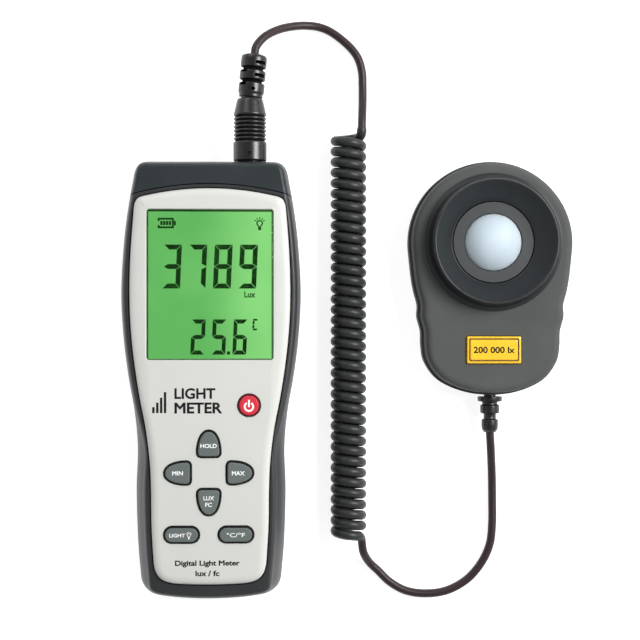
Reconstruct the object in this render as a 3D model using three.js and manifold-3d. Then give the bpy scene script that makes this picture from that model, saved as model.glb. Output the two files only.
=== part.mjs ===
// Handheld light meter: a display unit lying on its back, with a light sensor head on a curly cord.
// Millimetres, +Z up. The origin is on the unit's flat back, at its middle.
// +Y runs towards the end that holds the plug, and +X towards the sensor head.

import * as THREE from 'three';
import { mergeVertices } from 'three/addons/utils/BufferGeometryUtils.js';
import Module from 'manifold-3d';

const wasm = await Module();
wasm.setup();

// ---------------------------------------------------------------- driving dimensions

const GAP = 0.3;                 // clearance between pieces that touch on the real object
const OVERCUT = 0.6;             // how far a cutter runs past the surface that it opens

// Display unit
const METER_LENGTH = 180;
const METER_HALF_WIDTH = 37.1;   // across the display
const WAIST_HALF_WIDTH = 30.3;   // at the narrowest place, above the keys
const HIP_HALF_WIDTH = 30.8;
const REAR_TOP = 17.6;           // parting plane of the rear shell
const FRAME_BASE = 17.9;
const DECK_UNDERSIDE = 28.8;     // the frame's deck, which the white panel lies on
const DECK_TOP = 30.4;
const FRAME_TOP = 32;
const PANEL_BASE = DECK_TOP + GAP;
const PANEL_TOP = 34;
const KEY_TOP = 35.2;
const SHELL_WALL = 2.4;
const SEAM_MIDDLE_Y = 79.6;      // the arched seam between frame and top cap
const SEAM_RADIUS = 118.6;
const PANEL_GAP = 0.5;           // the dark groove round the white panel

// Display
const WINDOW_WIDTH = 51;
const WINDOW_HEIGHT = 60.6;
const WINDOW_Y = 39;
const WINDOW_TOP = 33.4;
const LCD_WIDTH = 54;
const LCD_HEIGHT = 62.4;
const LCD_TOP = 32;
const LCD_HOLDER_TOP = 28.4;
const LCD_THICKNESS = 2.1;

// Keys
const KEYS_X = -0.5;             // the keys' middle line, a little to the left of the panel's
const CLUSTER_Y = -36.8;
const CLUSTER_RADIUS = 11.7;     // from the cluster's middle to the middle of each of its four keys
const SIDE_KEY_RADIUS = 12.5;    // the same for the keys on its left and right
const KEY_HOLE_LENGTH = 11.5;
const LONG_KEY_X = 10.9;
const LONG_KEY_Y = -61.6;
const LONG_KEY_LENGTH = 14.8;
const LONG_KEY_WIDTH = 7.3;
const POWER_KEY_X = 15.7;
const POWER_KEY_Y = -9.6;
const POWER_KEY_RADIUS = 4.75;
const KEY_FLANGE_BASE = 27.6;

const KEY_FLANGE_WIDTH = 0.6;    // how far the flange reaches under the deck

// Boards
const BOARD_BASE = 20.4;
const BOARD_TOP = 22;

// Battery compartment
const BATTERY_RADIUS = 5.25;
const BATTERY_LENGTH = 43.5;
const BATTERY_PITCH = 11.4;
const BATTERY_Z = 8.35;
const BATTERY_MIDDLE_Y = -54.5;
const DOOR_HALF_WIDTH = 20;
const DOOR_TOP_END_Y = -28;
const DOOR_UNDERSIDE = 0.3;
const DOOR_TOP = 2.1;
const FLOOR_TOP = 2.4;           // the rear shell's floor

// Case screws, two by the display's top and two beside the batteries
const SCREW_PLACES = [[22, 73.6], [-22, 73.6], [24.3, -70], [-24.3, -70]];
const SCREW_HEAD_RADIUS = 2.3;
const SCREW_SHANK_RADIUS = 1.15;
const COUNTERBORE_DEPTH = 3.4;

// Plug
const PLUG_X = 16;
const PLUG_Z = 17;
const PLUG_RADIUS = 6.88;
const PLUG_LEAN = 5.3;           // degrees, the strain relief's lean to the right
const PLUG_SOCKET_RADIUS = 5.4;  // the bore that takes the plug's metal barrel
const PLUG_PIN_OFFSET = 1.7;
const METER_END_Y = METER_LENGTH / 2;

// Sensor head
const HEAD_X = 117;
const HEAD_Y = 57;               // the middle of its round end
const HEAD_HALF_WIDTH = 34.9;
const HEAD_ROUND_END = 34.2;     // from its middle to the far end
const HEAD_REAR_TOP = 11.7;
const HEAD_FACE_Z = 20;
const COLLAR_BASE_RADIUS = 27.1;
const COLLAR_RIM_RADIUS = 25.6;
const COLLAR_RIM_Z = 28.6;
const COLLAR_FOOT_Z = 15.4;
const CUP_FLOOR_RADIUS = 17.1;
const CUP_FLOOR_Z = 19.6;        // the cup's floor, which the dome's ring fills
const DOME_RADIUS = 11.8;
const DOME_TOP_Z = 24.1;
const BADGE_WIDTH = 22.6;
const BADGE_HEIGHT = 11.3;
const BADGE_Y = 12.3;
const HEAD_RELIEF_Z = 8;
const HEAD_SCREW_PLACES = [[HEAD_X - 24, 76], [HEAD_X + 24, 76], [HEAD_X, 2.5]];

// Cord
const CORD_RADIUS = 1.8;
const COIL_RADIUS = 7.65;
const COIL_X = 57.35;
const COIL_TOP_Y = 104.3;
const COIL_BOTTOM_Y = -68.5;
const COIL_Z = COIL_RADIUS + 0.05;

// ---------------------------------------------------------------- solids

const v2 = (x, y) => new THREE.Vector2(x, y);
const v3 = (x, y, z) => new THREE.Vector3(x, y, z);

// Merges shared corners and drops triangles that the merge closed up, such as those at a lathe's pole.
function merged(geometry) {
  const bare = geometry.clone();
  bare.deleteAttribute('normal');
  bare.deleteAttribute('uv');
  const joined = mergeVertices(bare, 1e-4);
  const corners = joined.index.array;
  const kept = [];
  for (let i = 0; i < corners.length; i += 3) {
    const [a, b, c] = [corners[i], corners[i + 1], corners[i + 2]];
    if (a !== b && b !== c && c !== a) kept.push(a, b, c);
  }
  joined.setIndex(kept);
  return joined;
}

// Six times the signed volume, which is negative when the faces point inwards.
function signedVolume(geometry) {
  const { position } = geometry.attributes;
  const at = (i) => v3(0, 0, 0).fromBufferAttribute(position, geometry.index.array[i]);
  let sum = 0;
  for (let i = 0; i < geometry.index.count; i += 3) {
    sum += at(i).dot(at(i + 1).cross(at(i + 2)));
  }
  return sum;
}

function outward(geometry) {
  const joined = merged(geometry);
  if (signedVolume(joined) < 0) {
    joined.setIndex([...joined.index.array].reverse());
  }
  return joined;
}

function solid(geometry) {
  const joined = outward(geometry);
  return new wasm.Manifold(new wasm.Mesh({
    numProp: 3,
    vertProperties: Float32Array.from(joined.attributes.position.array),
    triVerts: Uint32Array.from(joined.index.array),
  }));
}

function geometryOf(body) {
  const mesh = body.getMesh();
  const geometry = new THREE.BufferGeometry();
  geometry.setAttribute('position', new THREE.BufferAttribute(mesh.vertProperties, 3));
  geometry.setIndex(new THREE.BufferAttribute(mesh.triVerts, 1));
  return geometry;
}

// Cuts every geometry in the list out of the first one, and gives a geometry back.
function cut(body, ...tools) {
  return geometryOf(tools.reduce((left, tool) => left.subtract(solid(tool)), solid(body)));
}

function join(body, ...others) {
  return geometryOf(others.reduce((left, other) => left.add(solid(other)), solid(body)));
}

function overlapOf(body, other) {
  return geometryOf(solid(body).intersect(solid(other)));
}

// ---------------------------------------------------------------- plain shapes

function block(x0, x1, y0, y1, z0, z1) {
  const geometry = new THREE.BoxGeometry(x1 - x0, y1 - y0, z1 - z0);
  return geometry.translate((x0 + x1) / 2, (y0 + y1) / 2, (z0 + z1) / 2);
}

function discZ(radius, x, y, z0, z1, sides = 16) {
  const geometry = new THREE.CylinderGeometry(radius, radius, z1 - z0, sides);
  return geometry.rotateX(Math.PI / 2).translate(x, y, (z0 + z1) / 2);
}

function discY(radius, x, z, y0, y1, sides = 16) {
  const geometry = new THREE.CylinderGeometry(radius, radius, y1 - y0, sides);
  return geometry.translate(x, (y0 + y1) / 2, z);
}

// Turns [radius, height] points about the Z axis through (x, y).
function turnedZ(profile, x, y, sides) {
  const points = profile.map(([radius, height]) => v2(radius, height));
  return new THREE.LatheGeometry(points, sides).rotateX(Math.PI / 2).translate(x, y, 0);
}

// Turns [radius, height] points about the Y axis through (x, z).
function turnedY(profile, x, z, sides) {
  const points = profile.map(([radius, height]) => v2(radius, height));
  return new THREE.LatheGeometry(points, sides).translate(x, 0, z);
}

function roundedRectangle(width, height, radius, x = 0, y = 0) {
  const [left, right] = [x - width / 2, x + width / 2];
  const [low, high] = [y - height / 2, y + height / 2];
  const shape = new THREE.Shape();
  shape.absarc(right - radius, low + radius, radius, -Math.PI / 2, 0);
  shape.absarc(right - radius, high - radius, radius, 0, Math.PI / 2);
  shape.absarc(left + radius, high - radius, radius, Math.PI / 2, Math.PI);
  shape.absarc(left + radius, low + radius, radius, Math.PI, 1.5 * Math.PI);
  return shape;
}

function extruded(shape, z0, z1, curveSegments = 4) {
  const geometry = new THREE.ExtrudeGeometry(shape, { depth: z1 - z0, bevelEnabled: false, curveSegments });
  return geometry.translate(0, 0, z0);
}

// ---------------------------------------------------------------- outlines and stacked solids

// Samples a run of [curve, steps] pairs that join end to end.
function sampled(run) {
  const points = run.flatMap(([curve, steps]) => curve.getPoints(steps).slice(0, -1));
  const lastCurve = run[run.length - 1][0];
  points.push(lastCurve.getPoint(1));
  return points;
}

// Mirrors a half outline, given anticlockwise from low to high on the right, into a whole ring.
function mirrored(half) {
  const left = half.filter((p) => Math.abs(p.x) > 1e-6).map((p) => v2(-p.x, p.y));
  return [...half, ...left.reverse()];
}

// Unit normals of a ring's corners, facing outwards, with the stretch that a mitre needs.
function cornerNormals(ring) {
  return ring.map((point, i) => {
    const before = ring[(i + ring.length - 1) % ring.length];
    const after = ring[(i + 1) % ring.length];
    const inEdge = point.clone().sub(before).normalize();
    const outEdge = after.clone().sub(point).normalize();
    const normal = v2(inEdge.y + outEdge.y, -inEdge.x - outEdge.x).normalize();
    const mitre = Math.max(normal.dot(v2(inEdge.y, -inEdge.x)), 0.5);
    return { normal, stretch: 1 / mitre };
  });
}

// Moves a ring inwards. amount is a number, or a function of the corner and its normal.
function inset(ring, amount) {
  const normals = cornerNormals(ring);
  return ring.map((point, i) => {
    const { normal, stretch } = normals[i];
    const distance = typeof amount === 'function' ? amount(point, normal) : amount;
    return point.clone().addScaledVector(normal, -distance * stretch);
  });
}

// A closed solid through a stack of [z, inset] levels of one ring, lowest first.
function stacked(ring, levels) {
  const count = ring.length;
  const rings = levels.map(([, amount]) => inset(ring, amount));
  const positions = rings.flatMap((level, k) => level.flatMap((p) => [p.x, p.y, levels[k][0]]));
  const index = [];
  for (let k = 0; k + 1 < rings.length; k += 1) {
    for (let i = 0; i < count; i += 1) {
      const next = (i + 1) % count;
      const [a, b] = [k * count + i, k * count + next];
      index.push(a, b, b + count, a, b + count, a + count);
    }
  }
  const last = (rings.length - 1) * count;
  for (const [a, b, c] of THREE.ShapeUtils.triangulateShape(rings[0], [])) {
    index.push(c, b, a);
  }
  for (const [a, b, c] of THREE.ShapeUtils.triangulateShape(rings[rings.length - 1], [])) {
    index.push(last + a, last + b, last + c);
  }
  const geometry = new THREE.BufferGeometry();
  geometry.setAttribute('position', new THREE.Float32BufferAttribute(positions, 3));
  geometry.setIndex(index);
  return geometry;
}

// The unit's widest outline, seen from the front.
function meterRing() {
  const end = METER_END_Y;
  const lowEnd = new THREE.QuadraticBezierCurve(v2(0, -end), v2(11, -end), v2(20, -end + 1.4));
  const lowCorner = new THREE.CubicBezierCurve(
    v2(20, -end + 1.4), v2(25.2, -end + 2.2), v2(28, -end + 4), v2(28.9, -end + 8.5));
  const side = new THREE.SplineCurve([
    v2(28.9, -81.5), v2(30.2, -66), v2(HIP_HALF_WIDTH, -45), v2(WAIST_HALF_WIDTH, -28), v2(31.6, -13),
    v2(34.2, 2), v2(36.2, 18), v2(METER_HALF_WIDTH, 36), v2(36.1, 55), v2(34.4, 69.5), v2(32.1, 82.6),
  ]);
  const highCorner = new THREE.CubicBezierCurve(v2(32.1, 82.6), v2(31.5, 87.4), v2(30, end), v2(25.6, end));
  return mirrored(sampled([[lowEnd, 1], [lowCorner, 3], [side, 12], [highCorner, 3]]));
}

// The white panel's outline.
function panelRing() {
  const lowEnd = new THREE.QuadraticBezierCurve(v2(0, -82), v2(7, -82), v2(13, -81.6));
  const lowCorner = new THREE.CubicBezierCurve(v2(13, -81.6), v2(19.6, -81.1), v2(22.4, -79), v2(22.8, -72));
  const side = new THREE.SplineCurve([
    v2(22.8, -72), v2(23.6, -58), v2(23.8, -43), v2(24.3, -32), v2(25.9, -19), v2(28.4, -6),
    v2(30.6, 8.5), v2(32, 23), v2(32.4, 37), v2(31.9, 53), v2(30.6, 70),
  ]);
  const highCorner = new THREE.CubicBezierCurve(v2(30.6, 70), v2(30.3, 73), v2(29.2, 74.2), v2(27, 74.7));
  const highEnd = new THREE.QuadraticBezierCurve(v2(27, 74.7), v2(13.4, 77.9), v2(0, 77.9));
  return mirrored(sampled([[lowEnd, 1], [lowCorner, 4], [side, 10], [highCorner, 2], [highEnd, 3]]));
}

// The sensor head's widest outline: a round end, then sides with two soft finger notches.
function headRing() {
  const side = new THREE.SplineCurve([
    v2(0, -64), v2(8.8, -63.1), v2(17.1, -60.5), v2(23.6, -56.4), v2(28.2, -49.6), v2(29.4, -43),
    v2(29.6, -37), v2(31.1, -31), v2(31, -26), v2(32.4, -20.6), v2(33.6, -14), v2(34.7, -3.6),
  ]);
  const startAngle = -Math.asin(3.6 / HEAD_ROUND_END);
  const roundEnd = new THREE.EllipseCurve(0, 0, HEAD_HALF_WIDTH, HEAD_ROUND_END, startAngle, Math.PI / 2);
  const ring = mirrored(sampled([[side, 15], [roundEnd, 7]]));
  return ring.map((p) => v2(p.x + HEAD_X, p.y + HEAD_Y));
}

// ---------------------------------------------------------------- display unit: casing

const meterOutline = meterRing();
const panelOutline = panelRing();

// How much more the walls lean inwards below the waist than beside the display.
function shoulder(point, normal) {
  const belowWaist = THREE.MathUtils.smoothstep(-point.y, 8, 32);
  return belowWaist * (2.2 * normal.x ** 2 + 0.5 * normal.y ** 2);
}

const rearLevels = [[0, 4.4], [0.8, 2.8], [2.4, 1.5], [5.5, 0.5], [10, 0.1], [REAR_TOP, 0]];
const frontLevels = [
  [FRAME_BASE, 0],
  [29.6, (p, n) => 1.5 + shoulder(p, n)],
  [31.2, (p, n) => 2.1 + shoulder(p, n)],
  [FRAME_TOP, (p, n) => 2.9 + 0.95 * shoulder(p, n)],
];
const cavityLevels = [[FLOOR_TOP, 4.4], [6, 3], [10, 2.6], [DECK_UNDERSIDE, 4.2]];

// A slab that holds everything on the handle's side of the arched seam, or on the cap's side.
function seamSide(capSide) {
  const shape = new THREE.Shape();
  const radius = SEAM_RADIUS + (capSide ? GAP : 0);
  const middle = SEAM_MIDDLE_Y - SEAM_RADIUS;
  const half = 42;
  const angle = Math.acos(half / radius);
  const edge = middle + radius * Math.sin(angle);
  const far = capSide ? METER_LENGTH : -METER_LENGTH;
  shape.moveTo(half, far);
  shape.lineTo(half, edge);
  shape.absarc(0, middle, radius, angle, Math.PI - angle);
  shape.lineTo(-half, far);
  return extruded(shape, -1, 40, 5);
}

// Screw posts of one shell, with the hole through them.
function posts(radius, z0, z1) {
  return SCREW_PLACES.map(([x, y]) => discZ(radius, x, y, z0, z1, 12));
}

function rearShell() {
  const outer = stacked(meterOutline, rearLevels);
  const hollow = stacked(meterOutline, [...cavityLevels.slice(0, 3), [REAR_TOP + OVERCUT, 2.6]]);
  const withPosts = join(cut(outer, hollow), ...posts(3.6, 1, REAR_TOP - GAP));
  const holes = SCREW_PLACES.flatMap(([x, y]) => [
    discZ(SCREW_SHANK_RADIUS + GAP, x, y, -OVERCUT, REAR_TOP, 10),
    discZ(SCREW_HEAD_RADIUS + GAP, x, y, -OVERCUT, COUNTERBORE_DEPTH, 12),
  ]);
  const [doorSide, doorEnd] = [DOOR_HALF_WIDTH + GAP, DOOR_TOP_END_Y + GAP];
  const doorway = block(-doorSide, doorSide, -METER_LENGTH, doorEnd, -OVERCUT, FLOOR_TOP + 0.1);
  return overlapOf(cut(withPosts, ...holes, doorway), seamSide(false));
}

function batteryDoor() {
  const plate = block(
    -DOOR_HALF_WIDTH, DOOR_HALF_WIDTH, -METER_LENGTH, DOOR_TOP_END_Y, DOOR_UNDERSIDE, DOOR_TOP);
  const fitted = overlapOf(plate, stacked(meterOutline, rearLevels));
  const grooves = [0, 1, 2, 3, 4].map((i) => {
    const y = -82 + 2.4 * i;
    return block(-7, 7, y, y + 1.2, 0, DOOR_UNDERSIDE + 0.5);
  });
  return cut(fitted, ...grooves);
}

// The space that the display stands in, where it passes the deck and reaches into the panel's back.
function displaySpace(z0, z1) {
  const [halfWidth, halfHeight] = [LCD_WIDTH / 2 + GAP, LCD_HEIGHT / 2 + GAP];
  return block(-halfWidth, halfWidth, WINDOW_Y - halfHeight, WINDOW_Y + halfHeight, z0, z1);
}

function frontFrame() {
  const outer = stacked(meterOutline, frontLevels);
  const hollow = stacked(meterOutline, [[FRAME_BASE - OVERCUT, 2.8], [DECK_UNDERSIDE, 4.2]]);
  const recess = stacked(panelOutline, [[DECK_TOP, -PANEL_GAP], [FRAME_TOP + OVERCUT, -PANEL_GAP]]);
  const displayHole = displaySpace(DECK_UNDERSIDE - 1, DECK_TOP + 1);
  const bosses = overlapOf(join(...posts(2.4, FRAME_BASE, DECK_UNDERSIDE + 0.5)), outer);
  const body = join(cut(outer, hollow), bosses);
  const pilots = SCREW_PLACES.map(([x, y]) => discZ(SCREW_SHANK_RADIUS + GAP, x, y, 0, 26, 10));
  const openings = [recess, displayHole, ...keyHoles(DECK_UNDERSIDE - 1, DECK_TOP + 1)];
  return overlapOf(cut(body, ...openings, ...pilots), seamSide(false));
}

function frontPanel() {
  const outer = stacked(panelOutline, [
    [PANEL_BASE, 0], [32.3, 0.1], [33.2, 0.7], [33.8, 1.8], [PANEL_TOP, 3.4],
  ]);
  const windowHole = extruded(
    roundedRectangle(WINDOW_WIDTH, WINDOW_HEIGHT, 1.6, 0, WINDOW_Y), PANEL_BASE - 1, PANEL_TOP + 1);
  const pocket = displaySpace(PANEL_BASE - 1, LCD_TOP + GAP);
  return cut(outer, windowHole, pocket, ...keyHoles(PANEL_BASE - 1, PANEL_TOP + 1));
}

// One cap over the end of both shells, slipped on from the plug's end.
function topCap() {
  const wall = SHELL_WALL;
  const outer = join(
    stacked(meterOutline, [...rearLevels.slice(0, 5), [FRAME_BASE + 1, 0]]),
    stacked(meterOutline, frontLevels));
  const hollow = stacked(meterOutline, [...cavityLevels, [FRAME_TOP - wall, 4.2]]);
  const [holeStart, holeEnd] = [METER_END_Y - 2 * wall, METER_END_Y + wall];
  const socketHole = discY(PLUG_SOCKET_RADIUS, PLUG_X, PLUG_Z, holeStart, holeEnd, 20);
  return overlapOf(cut(outer, hollow, socketHole), seamSide(true));
}

// ---------------------------------------------------------------- display unit: keys

// A key's hole outline: round at the nose (+Y), with a flat foot between two rounded corners.
function noseShape(margin, turn, x, y) {
  const length = KEY_HOLE_LENGTH / 2;
  const foot = new THREE.LineCurve(v2(0, -length), v2(2.7, -length));
  const corner = new THREE.CubicBezierCurve(v2(2.7, -length), v2(4.4, -length), v2(5.2, -4.7), v2(5.1, -3.2));
  const nose = new THREE.CubicBezierCurve(v2(5.1, -3.2), v2(5, 1.2), v2(3.5, length), v2(0, length));
  const ring = inset(mirrored(sampled([[foot, 1], [corner, 3], [nose, 5]])), margin);
  return ring.map((p) => p.rotateAround(v2(0, 0), turn).add(v2(x, y)));
}

function longShape(margin, x, y) {
  const radius = LONG_KEY_WIDTH / 2;
  const shape = roundedRectangle(LONG_KEY_LENGTH, LONG_KEY_WIDTH, radius, x, y);
  return inset(withoutRepeats(shape.getPoints(3)), margin);
}

function roundShape(margin, x, y) {
  const curve = new THREE.EllipseCurve(x, y, POWER_KEY_RADIUS - margin, POWER_KEY_RADIUS - margin);
  return curve.getPoints(16).slice(0, -1);
}

function withoutRepeats(points) {
  return points.filter((p, i) => p.distanceTo(points[(i + 1) % points.length]) > 1e-4);
}

const keys = {
  key_hold: (margin) => noseShape(margin, 0, KEYS_X, CLUSTER_Y + CLUSTER_RADIUS),
  key_units: (margin) => noseShape(margin, Math.PI, KEYS_X, CLUSTER_Y - CLUSTER_RADIUS),
  key_min: (margin) => noseShape(margin, Math.PI / 2, KEYS_X - SIDE_KEY_RADIUS, CLUSTER_Y),
  key_max: (margin) => noseShape(margin, -Math.PI / 2, KEYS_X + SIDE_KEY_RADIUS, CLUSTER_Y),
  key_light: (margin) => longShape(margin, KEYS_X - LONG_KEY_X, LONG_KEY_Y),
  key_temperature: (margin) => longShape(margin, KEYS_X + LONG_KEY_X, LONG_KEY_Y),
  key_power: (margin) => roundShape(margin, POWER_KEY_X, POWER_KEY_Y),
};

function keyHoles(z0, z1) {
  return Object.values(keys).map((outline) => stacked(outline(0), [[z0, 0], [z1, 0]]));
}

// A key: a flange held under the deck, a stem through the hole, and a crowned top.
function keycap(outline) {
  const stem = stacked(outline(GAP), [[KEY_FLANGE_BASE, 0], [34.2, 0], [34.9, 0.5], [KEY_TOP, 1.3]]);
  const flange = stacked(outline(-KEY_FLANGE_WIDTH), [[KEY_FLANGE_BASE, 0], [DECK_UNDERSIDE - GAP, 0]]);
  return join(stem, flange);
}

// The rubber sheet under the keys, with a pad below each one.
function keypadSheet() {
  const sheet = block(-21.5, 21.5, -67, -2.5, BOARD_TOP + GAP, BOARD_TOP + 1.5);
  const pads = Object.values(keys).map((outline) => {
    const middle = new THREE.Box2().setFromPoints(outline(0)).getCenter(v2(0, 0));
    return discZ(2.4, middle.x, middle.y, BOARD_TOP + 1, 26.2, 8);
  });
  return join(sheet, ...pads);
}

// ---------------------------------------------------------------- display unit: display and electronics

function displayWindow() {
  const shape = roundedRectangle(WINDOW_WIDTH - 2 * GAP, WINDOW_HEIGHT - 2 * GAP, 1.4, 0, WINDOW_Y);
  return extruded(shape, LCD_TOP + GAP, WINDOW_TOP);
}

function lcdGlass() {
  const half = LCD_WIDTH / 2;
  const [low, high] = [WINDOW_Y - LCD_HEIGHT / 2, WINDOW_Y + LCD_HEIGHT / 2];
  return block(-half, half, low, high, LCD_TOP - LCD_THICKNESS, LCD_TOP);
}

function backlightPanel() {
  const top = LCD_TOP - LCD_THICKNESS - GAP;
  return block(-26, 26, 11.2, 69.6, top - 2.6, top);
}

function zebraStrip() {
  return block(-25, 25, 8.6, 10.6, BOARD_TOP + GAP, LCD_TOP - LCD_THICKNESS - GAP);
}

function lcdHolder() {
  const outer = block(-29, 29, 6.4, 71, BOARD_TOP + GAP, LCD_HOLDER_TOP);
  const inner = displaySpace(BOARD_TOP - 1, LCD_HOLDER_TOP + 1);
  return cut(outer, inner);
}

function mainBoard() {
  const blank = stacked(meterOutline, [[BOARD_BASE, 4.4], [BOARD_TOP, 4.4]]);
  const trimmed = overlapOf(blank, block(-40, 40, -78, 73, BOARD_BASE - 1, BOARD_TOP + 1));
  return cut(trimmed, ...SCREW_PLACES.map(([x, y]) => discZ(2.9, x, y, BOARD_BASE - 1, BOARD_TOP + 1, 10)));
}

function probeSocket() {
  const outerRadius = 6.6;
  const boreRadius = PLUG_SOCKET_RADIUS;
  const [back, front] = [78.2, METER_END_Y - SHELL_WALL - 2];
  return turnedY([
    [0, back], [outerRadius, back], [outerRadius, front], [boreRadius, front], [boreRadius, back + 2.4],
    [0, back + 2.4],
  ], PLUG_X, PLUG_Z, 20);
}

// ---------------------------------------------------------------- display unit: batteries

// The open-fronted box that holds the batteries above the door.
function batteryBox() {
  const outer = block(-19.6, 19.6, -80.6, -28.4, FLOOR_TOP + GAP, 15.4);
  const inner = block(-18, 18, -79.2, -29.8, 0, 14.2);
  return cut(outer, inner);
}

// A cell along Y, with its raised end at +Y when direction is 1.
function battery(x, direction) {
  const half = BATTERY_LENGTH / 2;
  const profile = [
    [0, -half], [4.6, -half], [BATTERY_RADIUS, -half + 0.6], [BATTERY_RADIUS, half - 0.6], [4.6, half],
    [1.9, half], [1.9, half + 1], [0, half + 1],
  ];
  const geometry = turnedY(profile, 0, 0, 14);
  if (direction < 0) geometry.rotateZ(Math.PI);
  return geometry.translate(x, BATTERY_MIDDLE_Y, BATTERY_Z);
}

// A conical wire spring that presses on a cell's flat end.
function batterySpring(x, direction) {
  const turns = 2.5;
  const wire = 0.35;
  const farY = BATTERY_MIDDLE_Y - direction * (BATTERY_LENGTH / 2 + 2.4);
  const points = [];
  for (let i = 0; i <= 20; i += 1) {
    const share = i / 20;
    const angle = share * turns * 2 * Math.PI;
    const radius = 3.6 - 1.5 * share;
    const y = farY + direction * 1.7 * share;
    points.push(v3(x + radius * Math.cos(angle), y, BATTERY_Z + radius * Math.sin(angle)));
  }
  return tube(points, wire, 4, 20);
}

// A contact plate between a cell's raised end and the box's wall.
function contactPlate(x, direction) {
  const y = BATTERY_MIDDLE_Y + direction * (BATTERY_LENGTH / 2 + 1.8);
  return block(x - 4, x + 4, y - 0.2, y + 0.2, BATTERY_Z - 4, BATTERY_Z + 4);
}

// A case screw: a domed head in its counterbore, a shank up into the front frame's post.
function caseScrew(x, y, headBase, shankTop) {
  const profile = [
    [0, headBase], [1.6, headBase], [SCREW_HEAD_RADIUS, headBase + 0.7], [SCREW_HEAD_RADIUS, headBase + 1.7],
    [SCREW_SHANK_RADIUS, headBase + 1.7], [SCREW_SHANK_RADIUS, shankTop], [0, shankTop],
  ];
  return turnedZ(profile, x, y, 10);
}

// ---------------------------------------------------------------- plug

function plugBarrel() {
  const profile = [
    [4.2, METER_END_Y - 7], [4.8, METER_END_Y - 7], [4.8, METER_END_Y + GAP], [4.2, METER_END_Y + GAP],
    [4.2, METER_END_Y - 7],
  ];
  return turnedY(profile, PLUG_X, PLUG_Z, 20);
}

function plugPin(x, z) {
  return discY(0.6, PLUG_X + x, PLUG_Z + z, METER_END_Y - 6, METER_END_Y + GAP, 8);
}

// The plug's grip: a smooth stretch by the socket, seven rings, then a taper.
function plugBody() {
  const base = METER_END_Y + 2 * GAP;
  const profile = [[0, base], [6.5, base], [PLUG_RADIUS, base + 0.5], [PLUG_RADIUS, base + 7.6]];
  for (let i = 0; i < 7; i += 1) {
    const y = base + 8 + 1.65 * i;
    profile.push([6.1, y], [6.1, y + 0.45], [6.65, y + 0.8], [6.65, y + 1.5]);
  }
  profile.push([6.6, 110.2], [5.3, 116.2], [0, 116.2]);
  return turnedY(profile, PLUG_X, PLUG_Z, 12);
}

// The plug's flexible strain relief: three rings, leaning the way that the cord leaves.
function plugRelief() {
  const profile = [[0, 0], [4.6, 0], [4.6, 1.6], [5.2, 1.9]];
  for (let i = 0; i < 3; i += 1) {
    const y = 2.2 + 5.2 * i;
    profile.push([5.2, y], [5.15, y + 3.8], [4.1, y + 4.1], [4.1, y + 4.9]);
  }
  profile.pop();
  profile.pop();
  profile.push([4.9, 17.2], [3.2, 17.9], [0, 17.9]);
  const geometry = turnedY(profile, 0, 0, 12);
  return geometry.rotateZ(-THREE.MathUtils.degToRad(PLUG_LEAN)).translate(PLUG_X + 0.25, 116.9, PLUG_Z);
}

// ---------------------------------------------------------------- cord

// A tube of even section along points.
function tube(points, radius, sides, steps) {
  const section = new THREE.Shape();
  section.absarc(0, 0, radius, 0, 2 * Math.PI);
  const outline = section.getPoints(sides / 2);
  const shape = new THREE.Shape(withoutRepeats(outline));
  const path = new THREE.CatmullRomCurve3(points, false, 'centripetal');
  return new THREE.ExtrudeGeometry(shape, { steps, extrudePath: path });
}

// From the plug's relief over an arch, down onto the surface, and back up into the coil's side.
const tailPlugRoute = [
  v3(17.95, 135.05, 17), v3(18.7, 138.2, 16.4), v3(22.2, 142.6, 14), v3(28, 146.4, 9.6), v3(34.4, 148.6, 5.6),
  v3(40.2, 149.4, 3), v3(45.6, 148.9, 1.9), v3(50.9, 146.6, 1.9), v3(57.4, 141.5, 1.9), v3(61.5, 136.4, 1.9),
  v3(63.4, 130.4, 1.9), v3(63.7, 124, 2.1), v3(63.6, 117, 3.6), v3(63.2, 110.6, 6.6), v3(63, 105.1, 7.7),
];

// Out of the coil's other end, round a wide bend on the surface, and up into the sensor head's relief.
const tailHeadRoute = [
  v3(63, -69.3, 7.7), v3(63.8, -73.6, 6.2), v3(66.4, -78.2, 3), v3(70.2, -82, 1.9), v3(75.4, -87, 1.9),
  v3(82.4, -90.8, 1.9), v3(91, -92, 1.9), v3(100, -90.7, 1.9), v3(108.4, -86.1, 1.9), v3(114.6, -79, 1.9),
  v3(118.2, -71, 1.9), v3(119.2, -62, 1.9), v3(119.2, -52, 2), v3(118.9, -41.6, 3), v3(117.8, -30, 6.9),
  v3(117.3, -23.6, 8),
];

function cordCoil() {
  return discY(COIL_RADIUS, COIL_X, COIL_Z, COIL_BOTTOM_Y, COIL_TOP_Y, 16);
}

// ---------------------------------------------------------------- sensor head

const headOutline = headRing();

function headRearShell() {
  const outer = stacked(headOutline, [[0, 4.2], [0.9, 2], [3, 0.6], [6, 0], [HEAD_REAR_TOP, 0]]);
  const hollow = stacked(headOutline, [[2.2, 4.4], [HEAD_REAR_TOP + OVERCUT, 2.4]]);
  const screwPosts = HEAD_SCREW_PLACES.map(([x, y]) => discZ(3.4, x, y, 1, HEAD_REAR_TOP - GAP, 12));
  const holes = HEAD_SCREW_PLACES.flatMap(([x, y]) => [
    discZ(SCREW_SHANK_RADIUS + GAP, x, y, -OVERCUT, HEAD_REAR_TOP, 10),
    discZ(SCREW_HEAD_RADIUS + GAP, x, y, -OVERCUT, COUNTERBORE_DEPTH, 12),
  ]);
  const cordHole = discY(2.8, HEAD_X, HEAD_RELIEF_Z, -12, 0, 12);
  return cut(join(cut(outer, hollow), ...screwPosts), ...holes, cordHole);
}

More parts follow.
